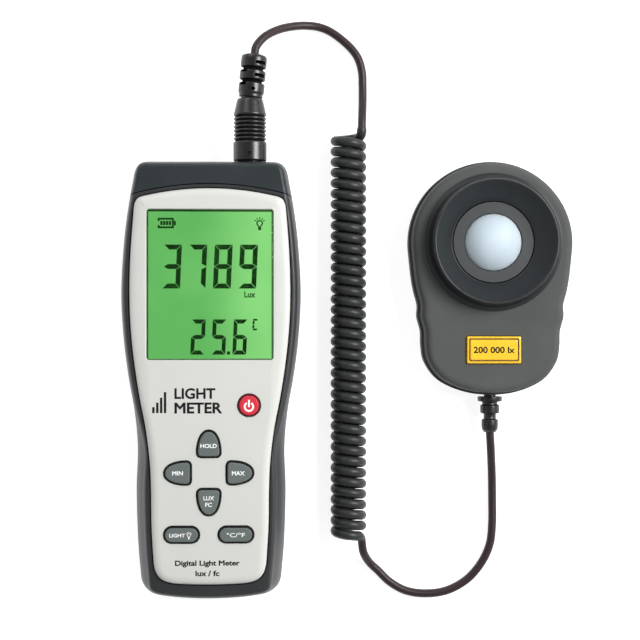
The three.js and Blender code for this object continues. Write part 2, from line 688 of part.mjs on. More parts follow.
function headFrontShell() {
  const base = HEAD_REAR_TOP + GAP;
  const outer = stacked(headOutline, [[base, 1], [16, 1.2], [18.4, 2.1], [19.5, 3.5], [HEAD_FACE_Z, 5.2]]);
  const hollow = stacked(headOutline, [[base - OVERCUT, 3.4], [HEAD_FACE_Z - 2, 5.4]]);
  const screwPosts = HEAD_SCREW_PLACES.map(([x, y]) => discZ(2.4, x, y, base, HEAD_FACE_Z - 1.6, 12));
  const pilots = HEAD_SCREW_PLACES.map(([x, y]) => discZ(SCREW_SHANK_RADIUS + GAP, x, y, 0, 16.2, 10));
  const opening = discZ(CUP_FLOOR_RADIUS + 2, HEAD_X, HEAD_Y, 10, 30, 24);
  const badgeBed = block(
    HEAD_X - BADGE_WIDTH / 2 - GAP, HEAD_X + BADGE_WIDTH / 2 + GAP, BADGE_Y - BADGE_HEIGHT / 2 - GAP,
    BADGE_Y + BADGE_HEIGHT / 2 + GAP, HEAD_FACE_Z - 0.9, HEAD_FACE_Z + 1);
  return cut(join(cut(outer, hollow), ...screwPosts), ...pilots, opening, badgeBed);
}

// The raised collar: a stout ring on the face, with a cup that slopes down to the dome's ring.
function headCollar() {
  const base = HEAD_FACE_Z + GAP;
  return turnedZ([
    [COLLAR_BASE_RADIUS + 1.6, base], [COLLAR_BASE_RADIUS + 0.4, base + 0.5],
    [COLLAR_BASE_RADIUS - 0.6, base + 2],
    [COLLAR_RIM_RADIUS + 0.3, COLLAR_RIM_Z - 0.9], [COLLAR_RIM_RADIUS - 0.1, COLLAR_RIM_Z],
    [COLLAR_RIM_RADIUS - 0.7, COLLAR_RIM_Z - 0.2], [CUP_FLOOR_RADIUS + 0.6, CUP_FLOOR_Z + 0.4],
    [CUP_FLOOR_RADIUS, CUP_FLOOR_Z], [CUP_FLOOR_RADIUS, COLLAR_FOOT_Z],
    [CUP_FLOOR_RADIUS + 1.7, COLLAR_FOOT_Z],
    [CUP_FLOOR_RADIUS + 1.7, base], [COLLAR_BASE_RADIUS + 1.6, base],
  ], HEAD_X, HEAD_Y, 24);
}

// The flat ring between the cup and the dome, carried on a tube down to the sensor's board.
function domeRing() {
  const outer = CUP_FLOOR_RADIUS - GAP;
  const inner = DOME_RADIUS + GAP;
  const top = CUP_FLOOR_Z - 0.2;
  const ledge = CUP_FLOOR_Z - 3.1;
  return turnedZ([
    [inner, top], [inner, ledge], [inner - 1.6, ledge], [inner - 1.6, COLLAR_FOOT_Z], [outer, COLLAR_FOOT_Z],
    [outer, top], [inner, top],
  ], HEAD_X, HEAD_Y, 24);
}

// The white diffuser: a shallow spherical cap on a short skirt.
function diffuserDome() {
  const skirtFoot = CUP_FLOOR_Z - 2.8;
  const height = DOME_TOP_Z - (CUP_FLOOR_Z - 0.7);
  const sphere = (DOME_RADIUS ** 2 + height ** 2) / (2 * height);
  const steps = 5;
  const profile = [[0, skirtFoot], [DOME_RADIUS, skirtFoot]];
  for (let i = 0; i <= steps; i += 1) {
    const radius = i === steps ? 0 : DOME_RADIUS * Math.cos((i / steps) * Math.PI / 2);
    profile.push([radius, DOME_TOP_Z - sphere + Math.sqrt(sphere ** 2 - radius ** 2)]);
  }
  return turnedZ(profile, HEAD_X, HEAD_Y, 20);
}

function rangeBadge() {
  const shape = roundedRectangle(BADGE_WIDTH, BADGE_HEIGHT, 0.6, HEAD_X, BADGE_Y);
  return stacked(withoutRepeats(shape.getPoints(2)), [[19.4, 0], [20.8, 0], [21.1, 0.5]]);
}

// The head's strain relief: a stem through the shell, a flange, then two rings on the cord.
function headRelief() {
  const profile = [
    [0, -22.8], [2.6, -22.8], [3.4, -21.2], [3.5, -17.4], [2.6, -17], [2.6, -15], [4, -14.6], [4.05, -11.4],
    [3.2, -11], [3.2, -9.9], [5.1, -9.6], [5.2, -7.7], [2.5, -7.7], [2.5, -2], [0, -2],
  ];
  return turnedY(profile, HEAD_X + 0.2, HEAD_RELIEF_Z, 12);
}

// ---------------------------------------------------------------- materials

function finish(color, roughness, metalness = 0) {
  return () => new THREE.MeshStandardMaterial({ color, roughness, metalness });
}

const darkPlastic = finish('#3a3f42', 0.55);
const capPlastic = finish('#454b4e', 0.5);
const whitePlastic = finish('#dfe1dc', 0.45);
const clearPlastic = finish('#9fd08f', 0.1);
const displayGreen = finish('#6fc468', 0.25);
const lightGuide = finish('#e9f5e4', 0.4);
const keyGrey = finish('#6e7674', 0.7);
const powerRed = finish('#cf2f3f', 0.6);
const rubberBlack = finish('#1c1d1f', 0.85);
const boardGreen = finish('#1f6b3c', 0.6);
const chipBlack = finish('#17181a', 0.5);
const steel = finish('#b9bcc0', 0.3, 1);
const cellJacket = finish('#3d4a6b', 0.4);
const headPlastic = finish('#5c5f5e', 0.6);
const collarPlastic = finish('#373c3e', 0.55);
const ringPlastic = finish('#575b5c', 0.6);
const diffuserWhite = finish('#d5e2ea', 0.5);
const badgeYellow = finish('#f0c23a', 0.35);
const plugRubber = finish('#3c3c3e', 0.65);
const cordRubber = finish('#3b3030', 0.6);
const coilRubber = finish('#2f3130', 0.6);
const siliconDark = finish('#232a44', 0.2);
const filterGlass = finish('#7fb39a', 0.1);
const boxPlastic = finish('#2a2c2e', 0.6);

// ---------------------------------------------------------------- assembly

const group = new THREE.Group();

function add(name, geometry, material) {
  const mesh = new THREE.Mesh(outward(geometry), material());
  mesh.geometry.computeVertexNormals();
  mesh.name = name;
  group.add(mesh);
}

function addMeter() {
  add('rear_shell', rearShell(), darkPlastic);
  add('front_frame', frontFrame(), darkPlastic);
  add('top_cap', topCap(), capPlastic);
  add('front_panel', frontPanel(), whitePlastic);
  add('battery_door', batteryDoor(), darkPlastic);
  add('display_window', displayWindow(), clearPlastic);
  add('lcd_glass', lcdGlass(), displayGreen);
  add('backlight_panel', backlightPanel(), lightGuide);
  add('lcd_holder', lcdHolder(), boxPlastic);
  add('zebra_strip', zebraStrip(), rubberBlack);
  add('main_board', mainBoard(), boardGreen);
  add('controller_chip', block(-8, 8, 24, 40, BOARD_BASE - GAP - 1.6, BOARD_BASE - GAP), chipBlack);
  add('thermistor', block(-14, -11, 64, 66.5, BOARD_BASE - GAP - 2, BOARD_BASE - GAP), chipBlack);
  add('keypad_sheet', keypadSheet(), rubberBlack);
  add('probe_socket', probeSocket(), boxPlastic);
  SCREW_PLACES.forEach(([x, y], i) => add(`case_screw_${i + 1}`, caseScrew(x, y, 1, 25), steel));
}

function addKeys() {
  for (const [name, outline] of Object.entries(keys)) {
    add(name, keycap(outline), name === 'key_power' ? powerRed : keyGrey);
  }
}

function addBatteries() {
  add('battery_box', batteryBox(), boxPlastic);
  [-1, 0, 1].forEach((slot, i) => {
    const x = slot * BATTERY_PITCH;
    const direction = slot === 0 ? -1 : 1;
    add(`battery_${i + 1}`, battery(x, direction), cellJacket);
    add(`battery_spring_${i + 1}`, batterySpring(x, direction), steel);
    add(`battery_contact_${i + 1}`, contactPlate(x, direction), steel);
  });
}

function addPlugAndCord() {
  add('plug_barrel', plugBarrel(), steel);
  [[-1, -1], [1, -1], [-1, 1], [1, 1]].forEach(([x, z], i) => {
    add(`plug_pin_${i + 1}`, plugPin(x * PLUG_PIN_OFFSET, z * PLUG_PIN_OFFSET), steel);
  });
  add('plug_body', plugBody(), plugRubber);
  add('plug_relief', plugRelief(), plugRubber);
  add('cord_tail_plug', tube(tailPlugRoute, CORD_RADIUS, 8, 22), cordRubber);
  add('cord_coil', cordCoil(), coilRubber);
  add('cord_tail_head', tube(tailHeadRoute, CORD_RADIUS, 8, 28), cordRubber);
}

function addHead() {
  add('head_rear_shell', headRearShell(), headPlastic);
  add('head_front_shell', headFrontShell(), headPlastic);
  add('head_collar', headCollar(), collarPlastic);
  add('dome_ring', domeRing(), ringPlastic);
  add('diffuser_dome', diffuserDome(), diffuserWhite);
  add('filter_glass', discZ(8, HEAD_X, HEAD_Y, 12.8, 15, 16), filterGlass);
  add('photodiode', block(HEAD_X - 5, HEAD_X + 5, HEAD_Y - 5, HEAD_Y + 5, 9.4, 11.8), siliconDark);
  add('head_board', discZ(16, HEAD_X, HEAD_Y, 7.4, 9, 20), boardGreen);
  add('range_badge', rangeBadge(), badgeYellow);
  add('head_relief', headRelief(), plugRubber);
  HEAD_SCREW_PLACES.forEach(([x, y], i) => add(`head_screw_${i + 1}`, caseScrew(x, y, 1, 15.2), steel));
}

addMeter();
addKeys();
addBatteries();
addPlugAndCord();
addHead();

export default group;
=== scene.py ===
"""Looks for the handheld light meter: the display unit, its curly cord and the sensor head.

Outlines, profiles and heights are in millimetres, and become metres where a mesh is made.
Places and sizes come from the CAD nodes' boxes.
"""
import math

import bmesh
import bpy
import numpy as np
from mathutils import Matrix, Vector


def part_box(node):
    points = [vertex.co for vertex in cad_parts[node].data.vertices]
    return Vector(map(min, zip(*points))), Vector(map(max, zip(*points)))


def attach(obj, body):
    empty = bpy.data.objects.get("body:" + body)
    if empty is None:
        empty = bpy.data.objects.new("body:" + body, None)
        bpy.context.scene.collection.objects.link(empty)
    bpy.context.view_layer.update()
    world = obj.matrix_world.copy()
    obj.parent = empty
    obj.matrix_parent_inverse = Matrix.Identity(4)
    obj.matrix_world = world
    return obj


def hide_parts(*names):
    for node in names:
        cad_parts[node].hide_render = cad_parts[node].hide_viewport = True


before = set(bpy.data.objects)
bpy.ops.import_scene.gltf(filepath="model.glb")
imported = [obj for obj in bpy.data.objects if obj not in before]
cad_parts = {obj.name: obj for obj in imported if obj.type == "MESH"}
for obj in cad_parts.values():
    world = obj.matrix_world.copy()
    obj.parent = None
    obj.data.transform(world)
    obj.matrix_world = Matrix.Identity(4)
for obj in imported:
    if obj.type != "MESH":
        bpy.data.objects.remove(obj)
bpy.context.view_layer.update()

MM = 0.001
GAP = 0.3  # between pieces that touch on the real object


def box_mm(node):
    """Lowest and highest corner of a CAD node, in millimetres."""
    low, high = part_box(node)
    return np.array(low) / MM, np.array(high) / MM


def middle(node):
    low, high = box_mm(node)
    return (low + high) / 2


def half_width(node):
    low, high = box_mm(node)
    return (high[0] - low[0]) / 2


def heights(node):
    low, high = box_mm(node)
    return low[2], high[2]


# ---- camera

def added(name, data):
    """A new object in the scene."""
    made = bpy.data.objects.new(name, data)
    bpy.context.scene.collection.objects.link(made)
    return made


def make_camera():
    """Looks down at the object from above the display, a little from the left."""
    place = Vector((0.021, 0.027, 0.619))
    target = Vector((0.0449, 0.0247, 0.019))
    back = (place - target).normalized()
    right = Vector((0, 1, 0)).cross(back).normalized()
    data = bpy.data.cameras.new("camera")
    data.sensor_width = 36
    data.lens = 81.7
    camera = added("camera", data)
    turn = Matrix((right, back.cross(right), back)).transposed()
    camera.matrix_world = Matrix.Translation(place) @ turn.to_4x4()
    bpy.context.scene.camera = camera


# ---- outlines

def bezier(controls, steps):
    """Points along a Bezier curve, without its last one."""
    points = []
    for t in np.arange(steps) / steps:
        level = np.array(controls, float)
        while len(level) > 1:
            level = level[:-1] * (1 - t) + level[1:] * t
        points.append(level[0])
    return np.array(points)


def spline(controls, steps):
    """Points along a Catmull-Rom spline through its controls, without its last one."""
    p = np.array(controls, float)
    points = []
    for i in range(len(p) - 1):
        before, a, b, after = p[max(i - 1, 0)], p[i], p[i + 1], p[min(i + 2, len(p) - 1)]
        leave, arrive = (b - before) / 2, (after - a) / 2
        cubic = 2 * a - 2 * b + leave + arrive
        square = 3 * b - 3 * a - 2 * leave - arrive
        points += [cubic * t**3 + square * t**2 + leave * t + a for t in np.arange(steps) / steps]
    return np.array(points)


def arc(x, y, radius, start, end, steps):
    """Points of an arc in degrees, without its last one."""
    angles = np.radians(start + (end - start) * np.arange(steps) / steps)
    return np.stack([x + radius * np.cos(angles), y + radius * np.sin(angles)], 1)


def mirrored(*runs):
    """A closed outline from its right half, which runs from the low end to the high end."""
    half = np.vstack(runs)
    left = half[np.abs(half[:, 0]) > 1e-6][::-1] * [-1, 1]
    return np.vstack([half, left])


def unit(vectors):
    return vectors / np.maximum(np.linalg.norm(vectors, axis=-1, keepdims=True), 1e-12)


def corner_normals(ring):
    """Outward unit normals of a ring's corners, and the stretch that a mitre needs."""
    enter = unit(ring - np.roll(ring, 1, 0))
    leave = unit(np.roll(ring, -1, 0) - ring)
    normals = unit(np.stack([enter[:, 1] + leave[:, 1], -enter[:, 0] - leave[:, 0]], 1))
    across = np.stack([enter[:, 1], -enter[:, 0]], 1)
    return normals, 1 / np.maximum((normals * across).sum(1), 0.5)


def inset(ring, amount):
    """Moves a ring inwards by a number, or by one number for each corner."""
    normals, stretch = corner_normals(ring)
    return ring - normals * (np.asarray(amount) * stretch)[:, None]


def smoothstep(x, low, high):
    t = np.clip((x - low) / (high - low), 0, 1)
    return t * t * (3 - 2 * t)


def fitted(ring, *nodes):
    """The ring stretched to the box that the nodes fill together."""
    corners = np.array([box_mm(node) for node in nodes])
    low, high = corners[:, 0].min(0)[:2], corners[:, 1].max(0)[:2]
    return low + (ring - ring.min(0)) / (ring.max(0) - ring.min(0)) * (high - low)


def meter_ring():
    """The display unit's widest outline."""
    low, high = -90.0, 90.0
    side = [(28.9, -81.5), (30.2, -66), (30.8, -45), (30.3, -28), (31.6, -13), (34.2, 2), (36.2, 18),
            (37.1, 36), (36.1, 55), (34.4, 69.5), (32.1, 82.6)]
    return mirrored(
        bezier([(0, low), (11, low), (20, low + 1.4)], 6),
        bezier([(20, low + 1.4), (25.2, low + 2.2), (28, low + 4), (28.9, low + 8.5)], 10),
        spline(side, 6),
        bezier([(32.1, 82.6), (31.5, 87.4), (30, high), (25.6, high)], 10),
        [(25.6, high), (9, high)])


def panel_ring():
    """The white panel's outline."""
    side = [(22.8, -72), (23.6, -58), (23.8, -43), (24.3, -32), (25.9, -19), (28.4, -6), (30.6, 8.5),
            (32, 23), (32.4, 37), (31.9, 53), (30.6, 70)]
    return mirrored(
        bezier([(0, -82), (7, -82), (13, -81.6)], 6),
        bezier([(13, -81.6), (19.6, -81.1), (22.4, -79), (22.8, -72)], 12),
        spline(side, 6),
        bezier([(30.6, 70), (30.3, 73), (29.2, 74.2), (27, 74.7)], 8),
        bezier([(27, 74.7), (13.4, 77.9), (0, 77.9)], 12),
        [(0, 77.9)])


def head_ring():
    """The sensor head's widest outline: a round end, and sides with two soft finger notches."""
    side = [(0, -64), (8.8, -63.1), (17.1, -60.5), (23.6, -56.4), (28.2, -49.6), (29.4, -43), (29.6, -37),
            (31.1, -31), (31, -26), (32.4, -20.6), (33.6, -14), (34.7, -3.6)]
    round_end = arc(0, 0, 34.2, -6, 90, 30) * [34.9 / 34.2, 1]
    return fitted(mirrored(spline(side, 6), round_end, [(0, 34.2)]), "head_rear_shell")


def rounded_rectangle(x0, x1, y0, y1, radius, steps=6):
    corners = ((x1 - radius, y0 + radius), (x1 - radius, y1 - radius),
               (x0 + radius, y1 - radius), (x0 + radius, y0 + radius))
    return np.vstack([arc(x, y, radius, 90 * i - 90, 90 * i, steps) for i, (x, y) in enumerate(corners)])


def rectangle_over(node, radius, margin=0.0):
    """A rounded rectangle over a node's box and a margin round it."""
    low, high = box_mm(node)
    return rounded_rectangle(low[0] - margin, high[0] + margin, low[1] - margin, high[1] + margin, radius)


def circle(x, y, radius, sides=48):
    return arc(x, y, radius, 0, 360, sides)


# ---- meshes

def mesh_object(name, vertices, faces):
    """A mesh object from millimetre vertices, its faces turned outwards."""
    data = bpy.data.meshes.new(name)
    data.from_pydata((np.array(vertices, float) * MM).tolist(), [], faces)
    work = bmesh.new()
    work.from_mesh(data)
    bmesh.ops.recalc_face_normals(work, faces=work.faces)
    work.to_mesh(data)
    work.free()
    return added(name, data)


def lofted(name, rings):
    """A closed solid through rings of as many points each, with flat ends."""
    count = len(rings[0])
    faces = [list(range(count))[::-1], [(len(rings) - 1) * count + i for i in range(count)]]
    for k in range(len(rings) - 1):
        for i in range(count):
            a, b = k * count + i, k * count + (i + 1) % count
            faces.append([a, b, b + count, a + count])
    return mesh_object(name, np.vstack(rings), faces)


def stacked(name, ring, levels, smooth=0):
    """A solid through (height, inset) levels of a ring, lowest first, each rounded over smooth steps."""
    table = np.array([np.append(np.broadcast_to(amount, len(ring)), height) for height, amount in levels])
    if smooth:
        table = np.vstack([spline(table, smooth), table[-1:]])
    rings = [np.column_stack([inset(ring, row[:-1]), np.full(len(ring), row[-1])]) for row in table]
    return lofted(name, rings)


def softened(points, reach, steps=3):
    """A profile with each inner corner turned into a short curve."""
    p = np.array(points, float)
    out = [p[0]]
    for before, corner, after in zip(p, p[1:], p[2:]):
        back, ahead = before - corner, after - corner
        cut = min(reach, np.linalg.norm(back) / 2, np.linalg.norm(ahead) / 2)
        start, end = corner + unit(back) * cut, corner + unit(ahead) * cut
        for t in np.linspace(0, 1, steps + 1):
            out.append((1 - t) ** 2 * start + 2 * t * (1 - t) * corner + t * t * end)
    return np.array(out + [p[-1]])


def turned(name, profile, centre, axis="Z", sides=72, closed=False, soft=0.0, steps=3):
    """Turns (radius, height) points about an axis through centre. A closed profile ends where it starts."""
    if soft:
        profile = softened(profile, soft, steps)
    if closed:
        profile = profile[:-1]
    vertices, rows = [], []
    for radius, height in profile:
        count = 1 if radius < 1e-6 else sides
        rows.append([len(vertices) + i for i in range(count)])
        angles = 2 * math.pi * np.arange(count) / sides
        for u, v in zip(radius * np.cos(angles), radius * np.sin(angles)):
            upward = (centre[0] + u, centre[1] + v, height)
            vertices.append(upward if axis == "Z" else (centre[0] + u, height, centre[2] + v))
    faces = []
    for a, b in zip(rows, rows[1:] + rows[:1] if closed else rows[1:]):
        for i in range(sides):
            j = (i + 1) % sides
            corners = [a[i % len(a)], a[j % len(a)], b[j % len(b)], b[i % len(b)]]
            kept = [c for k, c in enumerate(corners) if c != corners[k - 1]]
            if len(kept) > 2:
                faces.append(kept)
    return mesh_object(name, vertices, faces)


def swept(name, path, radii, sides):
    """A tube of round section along a dense path."""
    ahead = unit(np.gradient(path, axis=0))
    side = unit(np.cross(ahead[0], [0.3, 0.2, 1]))
    rings = []
    angles = 2 * math.pi * np.arange(sides) / sides
    for point, direction, radius in zip(path, ahead, radii):
        side = unit(side - direction * side.dot(direction))
        up = np.cross(direction, side)
        rings.append(point + radius * (np.outer(np.cos(angles), side) + np.outer(np.sin(angles), up)))
    return lofted(name, rings)


def shape_of(obj):
    """The object's mesh with its modifiers applied."""
    bpy.context.view_layer.update()
    return bpy.data.meshes.new_from_object(obj.evaluated_get(bpy.context.evaluated_depsgraph_get()))


def carve(body, operation, *tools):
    """Cuts tools out of the body, adds them, or keeps what they share, and removes them."""
    for tool in tools:
        step = body.modifiers.new("carve", "BOOLEAN")
        step.operation = operation
        step.solver = "MANIFOLD"
        step.object = tool
    data = shape_of(body)
    data.materials.clear()
    body.modifiers.clear()
    body.data = data
    for tool in tools:
        bpy.data.objects.remove(tool)
    return body


def joined(name, parts):
    """One object from several, each still a closed body of its own."""
    work = bmesh.new()
    for part in parts:
        work.from_mesh(part.data)
        bpy.data.objects.remove(part)
    data = bpy.data.meshes.new(name)
    work.to_mesh(data)
    work.free()
    return added(name, data)


def upright(name, ring, low, high):
    """A straight solid over an outline."""
    return stacked(name, np.array(ring, float), [(low, 0), (high, 0)])


def pegs(places, radius, low, high, sides=24):
    """Upright posts or holes, one at each place."""
    return [upright("peg", circle(x, y, radius, sides), low, high) for x, y, *_ in places]


def block(name, low, high):
    ring = [(low[0], low[1]), (high[0], low[1]), (high[0], high[1]), (low[0], high[1])]
    return upright(name, ring, low[2], high[2])


def place(piece, body, slot, materials, replaced=(), angle=32):
    """Gives a piece its finish and its body, hides the CAD nodes that it stands for, and shades it smooth below
    the angle.
    """
    for material in materials:
        piece.data.materials.append(material)
    if angle:
        piece.data.polygons.foreach_set("use_smooth", [True] * len(piece.data.polygons))
        piece.data.set_sharp_from_angle(angle=math.radians(angle))
        piece.modifiers.new("even_shading", "WEIGHTED_NORMAL").keep_sharp = True
    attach(piece, body)
    if replaced:
        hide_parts(*replaced)
    return piece


def paint_where(piece, index, test):
    """Gives a material to the faces whose centre, in millimetres, and normal pass a test."""
    for face in piece.data.polygons:
        if test(face.center / MM, face.normal):
            face.material_index = index


# ---- materials

def linear(colour):
    """A colour in 0 to 255 display steps as the shader's linear one."""
    steps = np.array(colour, float) / 255
    values = np.where(steps <= 0.04045, steps / 12.92, ((steps + 0.055) / 1.055) ** 2.4)
    return (*values.tolist(), 1.0)


def set_sockets(node, values):
    for socket, value in values.items():
        node.inputs[socket].default_value = value


def noise(tree, size_mm, detail=2.0, stretch=(1, 1, 1)):
    """Noise with features of about size_mm, in the piece's own coordinates."""
    coordinates = tree.nodes.new("ShaderNodeTexCoord")
    mapping = tree.nodes.new("ShaderNodeMapping")
    texture = tree.nodes.new("ShaderNodeTexNoise")
    set_sockets(mapping, {"Scale": stretch})
    set_sockets(texture, {"Scale": 1 / (size_mm * MM), "Detail": detail})
    tree.links.new(coordinates.outputs["Object"], mapping.inputs["Vector"])
    tree.links.new(mapping.outputs["Vector"], texture.inputs["Vector"])
    return texture.outputs["Fac"]


def ramp(tree, value, low, high, start=0.3, end=0.7, kind="LINEAR"):
    """Maps start to end, by default a noise's usual range, onto low to high."""
    node = tree.nodes.new("ShaderNodeMapRange")
    node.interpolation_type = kind
    set_sockets(node, {"From Min": start, "From Max": end, "To Min": low, "To Max": high})
    tree.links.new(value, node.inputs["Value"])
    return node.outputs["Result"]


def coordinate(tree, space, axis):
    source = tree.nodes.new("ShaderNodeTexCoord")
    apart = tree.nodes.new("ShaderNodeSeparateXYZ")
    tree.links.new(source.outputs[space], apart.inputs["Vector"])
    return apart.outputs[axis]


class Finish:
    """A procedural material, made by setting and feeding its shader's sockets."""

    def __init__(self, name, sockets):
        self.material = bpy.data.materials.new(name)
        self.material.use_nodes = True
        self.tree = self.material.node_tree
        self.shader = self.tree.nodes["Principled BSDF"]
        set_sockets(self.shader, sockets)

    def feed(self, socket, output):
        self.tree.links.new(output, self.shader.inputs[socket])

    def colour(self, factor, first, second, socket="Base Color"):
        """Blends two colours by a factor."""
        mix = self.tree.nodes.new("ShaderNodeMix")
        mix.data_type = "RGBA"
        set_sockets(mix, {"A": first, "B": second})
        self.tree.links.new(factor, mix.inputs["Factor"])
        self.feed(socket, mix.outputs["Result"])

    def bump(self, height, depth_mm):
        node = self.tree.nodes.new("ShaderNodeBump")
        set_sockets(node, {"Distance": depth_mm * MM})
        self.tree.links.new(height, node.inputs["Height"])
        self.feed("Normal", node.outputs["Normal"])


def scaled(colour, factor):
    return (*(min(c * factor, 1.0) for c in colour[:3]), 1.0)


def moulded(name, colour, roughness=0.5, grain_mm=0.35, depth_mm=0.012, vary=0.12, specular=0.5,
            mottle_mm=14, metallic=0.0, coat=0.0, stretch=(1, 1, 1)):
    """A moulded or coated surface: grain as bump, mottled colour and uneven gloss."""
    made = Finish(name, {"Specular IOR Level": specular, "Metallic": metallic, "Coat Weight": coat})
    base = linear(colour)
    fine = noise(made.tree, grain_mm, 3.0, stretch)
    mottle = ramp(made.tree, noise(made.tree, mottle_mm, 4.0), 0, 1)
    made.colour(mottle, scaled(base, 1 - vary), scaled(base, 1 + vary))
    made.feed("Roughness", ramp(made.tree, fine, roughness * 0.85, min(roughness * 1.15, 1)))
    made.bump(fine, depth_mm)
    return made.material


def display_material():
    """The lit display: green, with a painted reflection that brightens it towards its right side, random tone,
    and a fine cell pattern.
    """
    made = Finish("display_green", {"Emission Strength": 1.0, "Specular IOR Level": 0.15})
    tree = made.tree
    low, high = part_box("lcd_glass")
    painted_reflection_and_tone = tree.nodes.new("ShaderNodeMath")
    painted_reflection_and_tone.use_clamp = True
    # painted reflection: the display grows brighter, in glow and in colour, towards its right side
    across = ramp(tree, coordinate(tree, "Object", "X"), 0, 1, low.x * 0.35, high.x, "SMOOTHSTEP")
    tree.links.new(across, painted_reflection_and_tone.inputs[0])
    tree.links.new(ramp(tree, noise(tree, 26, 1.0), -0.18, 0.18), painted_reflection_and_tone.inputs[1])
    made.colour(painted_reflection_and_tone.outputs["Value"], linear((98, 183, 94)), linear((139, 219, 127)), "Emission Color")
    made.colour(painted_reflection_and_tone.outputs["Value"], linear((10, 32, 10)), linear((14, 38, 12)))
    made.feed("Roughness", ramp(tree, noise(tree, 0.25), 0.22, 0.34))
    return made.material


def glass_material(name, tint, refraction):
    """Clear moulded plastic with faint flow marks."""
    made = Finish(name, {"Roughness": 0.02, "IOR": refraction, "Specular IOR Level": 0.4,
                         "Transmission Weight": 1.0})
    broad = noise(made.tree, 18)
    made.colour(ramp(made.tree, broad, 0, 1), linear(tint), scaled(linear(tint), 1.04))
    made.bump(broad, 0.004)
    return made.material


def cord_material():
    """The cord's jacket: brown-black on the loose stretches, grey-black where it is coiled."""
    made = Finish("cord_jacket", {"Specular IOR Level": 0.35})
    coiled = made.tree.nodes.new("ShaderNodeAttribute")
    coiled.attribute_name = "coiled"
    fine = noise(made.tree, 0.5, 3.0)
    made.colour(coiled.outputs["Fac"], linear((45, 31, 33)), linear((40, 42, 41)))
    made.feed("Roughness", ramp(made.tree, fine, 0.36, 0.5))
    made.bump(fine, 0.02)
    return made.material


def diffuser_material():
    """Milky translucent plastic."""
    made = Finish("diffuser_milk", {"Specular IOR Level": 0.3, "Subsurface Weight": 0.9,
                                    "Subsurface Scale": 0.006, "Subsurface Radius": (1.0, 1.0, 1.0)})
    cloudy = ramp(made.tree, noise(made.tree, 9, 3.0), 0, 1)
    made.colour(cloudy, linear((188, 201, 210)), linear((197, 209, 217)))
    made.feed("Roughness", ramp(made.tree, noise(made.tree, 0.3), 0.5, 0.6))
    return made.material


shell = moulded("case_plastic", (44, 46, 48), 0.42, specular=0.4, depth_mm=0.008)
cap_finish = moulded("cap_plastic", (40, 46, 49), 0.42, specular=0.3, depth_mm=0.01)
white = moulded("panel_plastic", (203, 204, 199), 0.4, 0.3, 0.004, vary=0.015, specular=0.4)
key_grey = moulded("key_rubber", (98, 106, 104), 0.7, 0.5, 0.05, vary=0.05, specular=0.25)
# dark rubber, and painted shade for the gap round each key
key_edge_black_and_shade = moulded("key_edge_rubber_and_shade", (14, 16, 16), 0.7, 0.4, 0.01, specular=0.2)
power_red = moulded("power_rubber", (206, 46, 62), 0.55, 0.5, 0.02, vary=0.05, specular=0.3)
# a darker copy of the power key's red: painted shade for the gap round the key
power_edge_shade = moulded("power_edge_painted_shade", (96, 14, 24), 0.6, 0.5, 0.01, specular=0.3)
black_rubber = moulded("black_rubber", (22, 23, 24), 0.75, 0.4, 0.02)
inner_plastic = moulded("inner_plastic", (34, 36, 38), 0.6, 0.4, 0.015)
board_green = moulded("board_green", (24, 92, 50), 0.45, 0.6, 0.01, vary=0.2, mottle_mm=4)
chip_black = moulded("chip_black", (20, 21, 23), 0.5, 0.2, 0.01)
guide_white = moulded("light_guide", (228, 240, 224), 0.35, 0.5, 0.004, vary=0.02)
steel = moulded("steel", (176, 178, 182), 0.28, 0.2, 0.003, vary=0.05, metallic=1.0, mottle_mm=3,
                stretch=(1, 6, 1))
cell_jacket = moulded("cell_jacket", (52, 70, 120), 0.3, 0.6, 0.003, vary=0.08, coat=0.4)
head_grey = moulded("head_plastic", (78, 80, 79), 0.6, 0.4, 0.02, specular=0.12, vary=0.06)
collar_grey = moulded("collar_plastic", (30, 34, 36), 0.4, 0.4, 0.015, specular=0.4, vary=0.08)
ring_grey = moulded("ring_plastic", (60, 63, 64), 0.5, 0.4, 0.015, specular=0.35, vary=0.05)
badge_yellow = moulded("badge_yellow", (236, 190, 44), 0.22, 0.8, 0.003, vary=0.06, coat=0.5)
# a darker copy of the badge's yellow: painted shade for the badge's groove
badge_groove_shade = moulded("badge_groove_shade", (74, 46, 10), 0.5, 0.4, 0.003)
plug_grey = moulded("plug_rubber", (27, 25, 28), 0.3, 0.5, 0.015, specular=0.6, vary=0.25, mottle_mm=3)
relief_black = moulded("relief_rubber", (18, 18, 21), 0.32, 0.5, 0.015, specular=0.6, vary=0.15, mottle_mm=3)
# near-black painted shade for the grooves and slots of the plug's grip and relief
groove_shade = moulded("groove_shade", (7, 7, 8), 0.8, 0.4, 0.01, specular=0.1)
silicon = moulded("silicon", (34, 40, 70), 0.2, 0.3, 0.002)
print_black = moulded("print_black", (18, 20, 20), 0.6, 0.2, 0.002, vary=0.05, specular=0.2)
print_white = moulded("print_white", (240, 241, 240), 0.6, 0.2, 0.002, vary=0.02)
# dark green for the display's segments, and for the painted shade inside the window
segment_and_shade_green = moulded("segment_and_shade_green", (4, 62, 0), 0.4, 0.2, 0.001, vary=0.06, specular=0.1)
filter_glass = glass_material("filter_glass", (150, 205, 175), 1.5)
window_clear = glass_material("window_clear", (252, 254, 252), 1.25)
display_green = display_material()
cord_jacket = cord_material()
diffuser_milk = diffuser_material()


# ---- cord

CORD_RADIUS = 1.74
COILED_RADIUS = 2.05
COIL_PITCH = 4.46

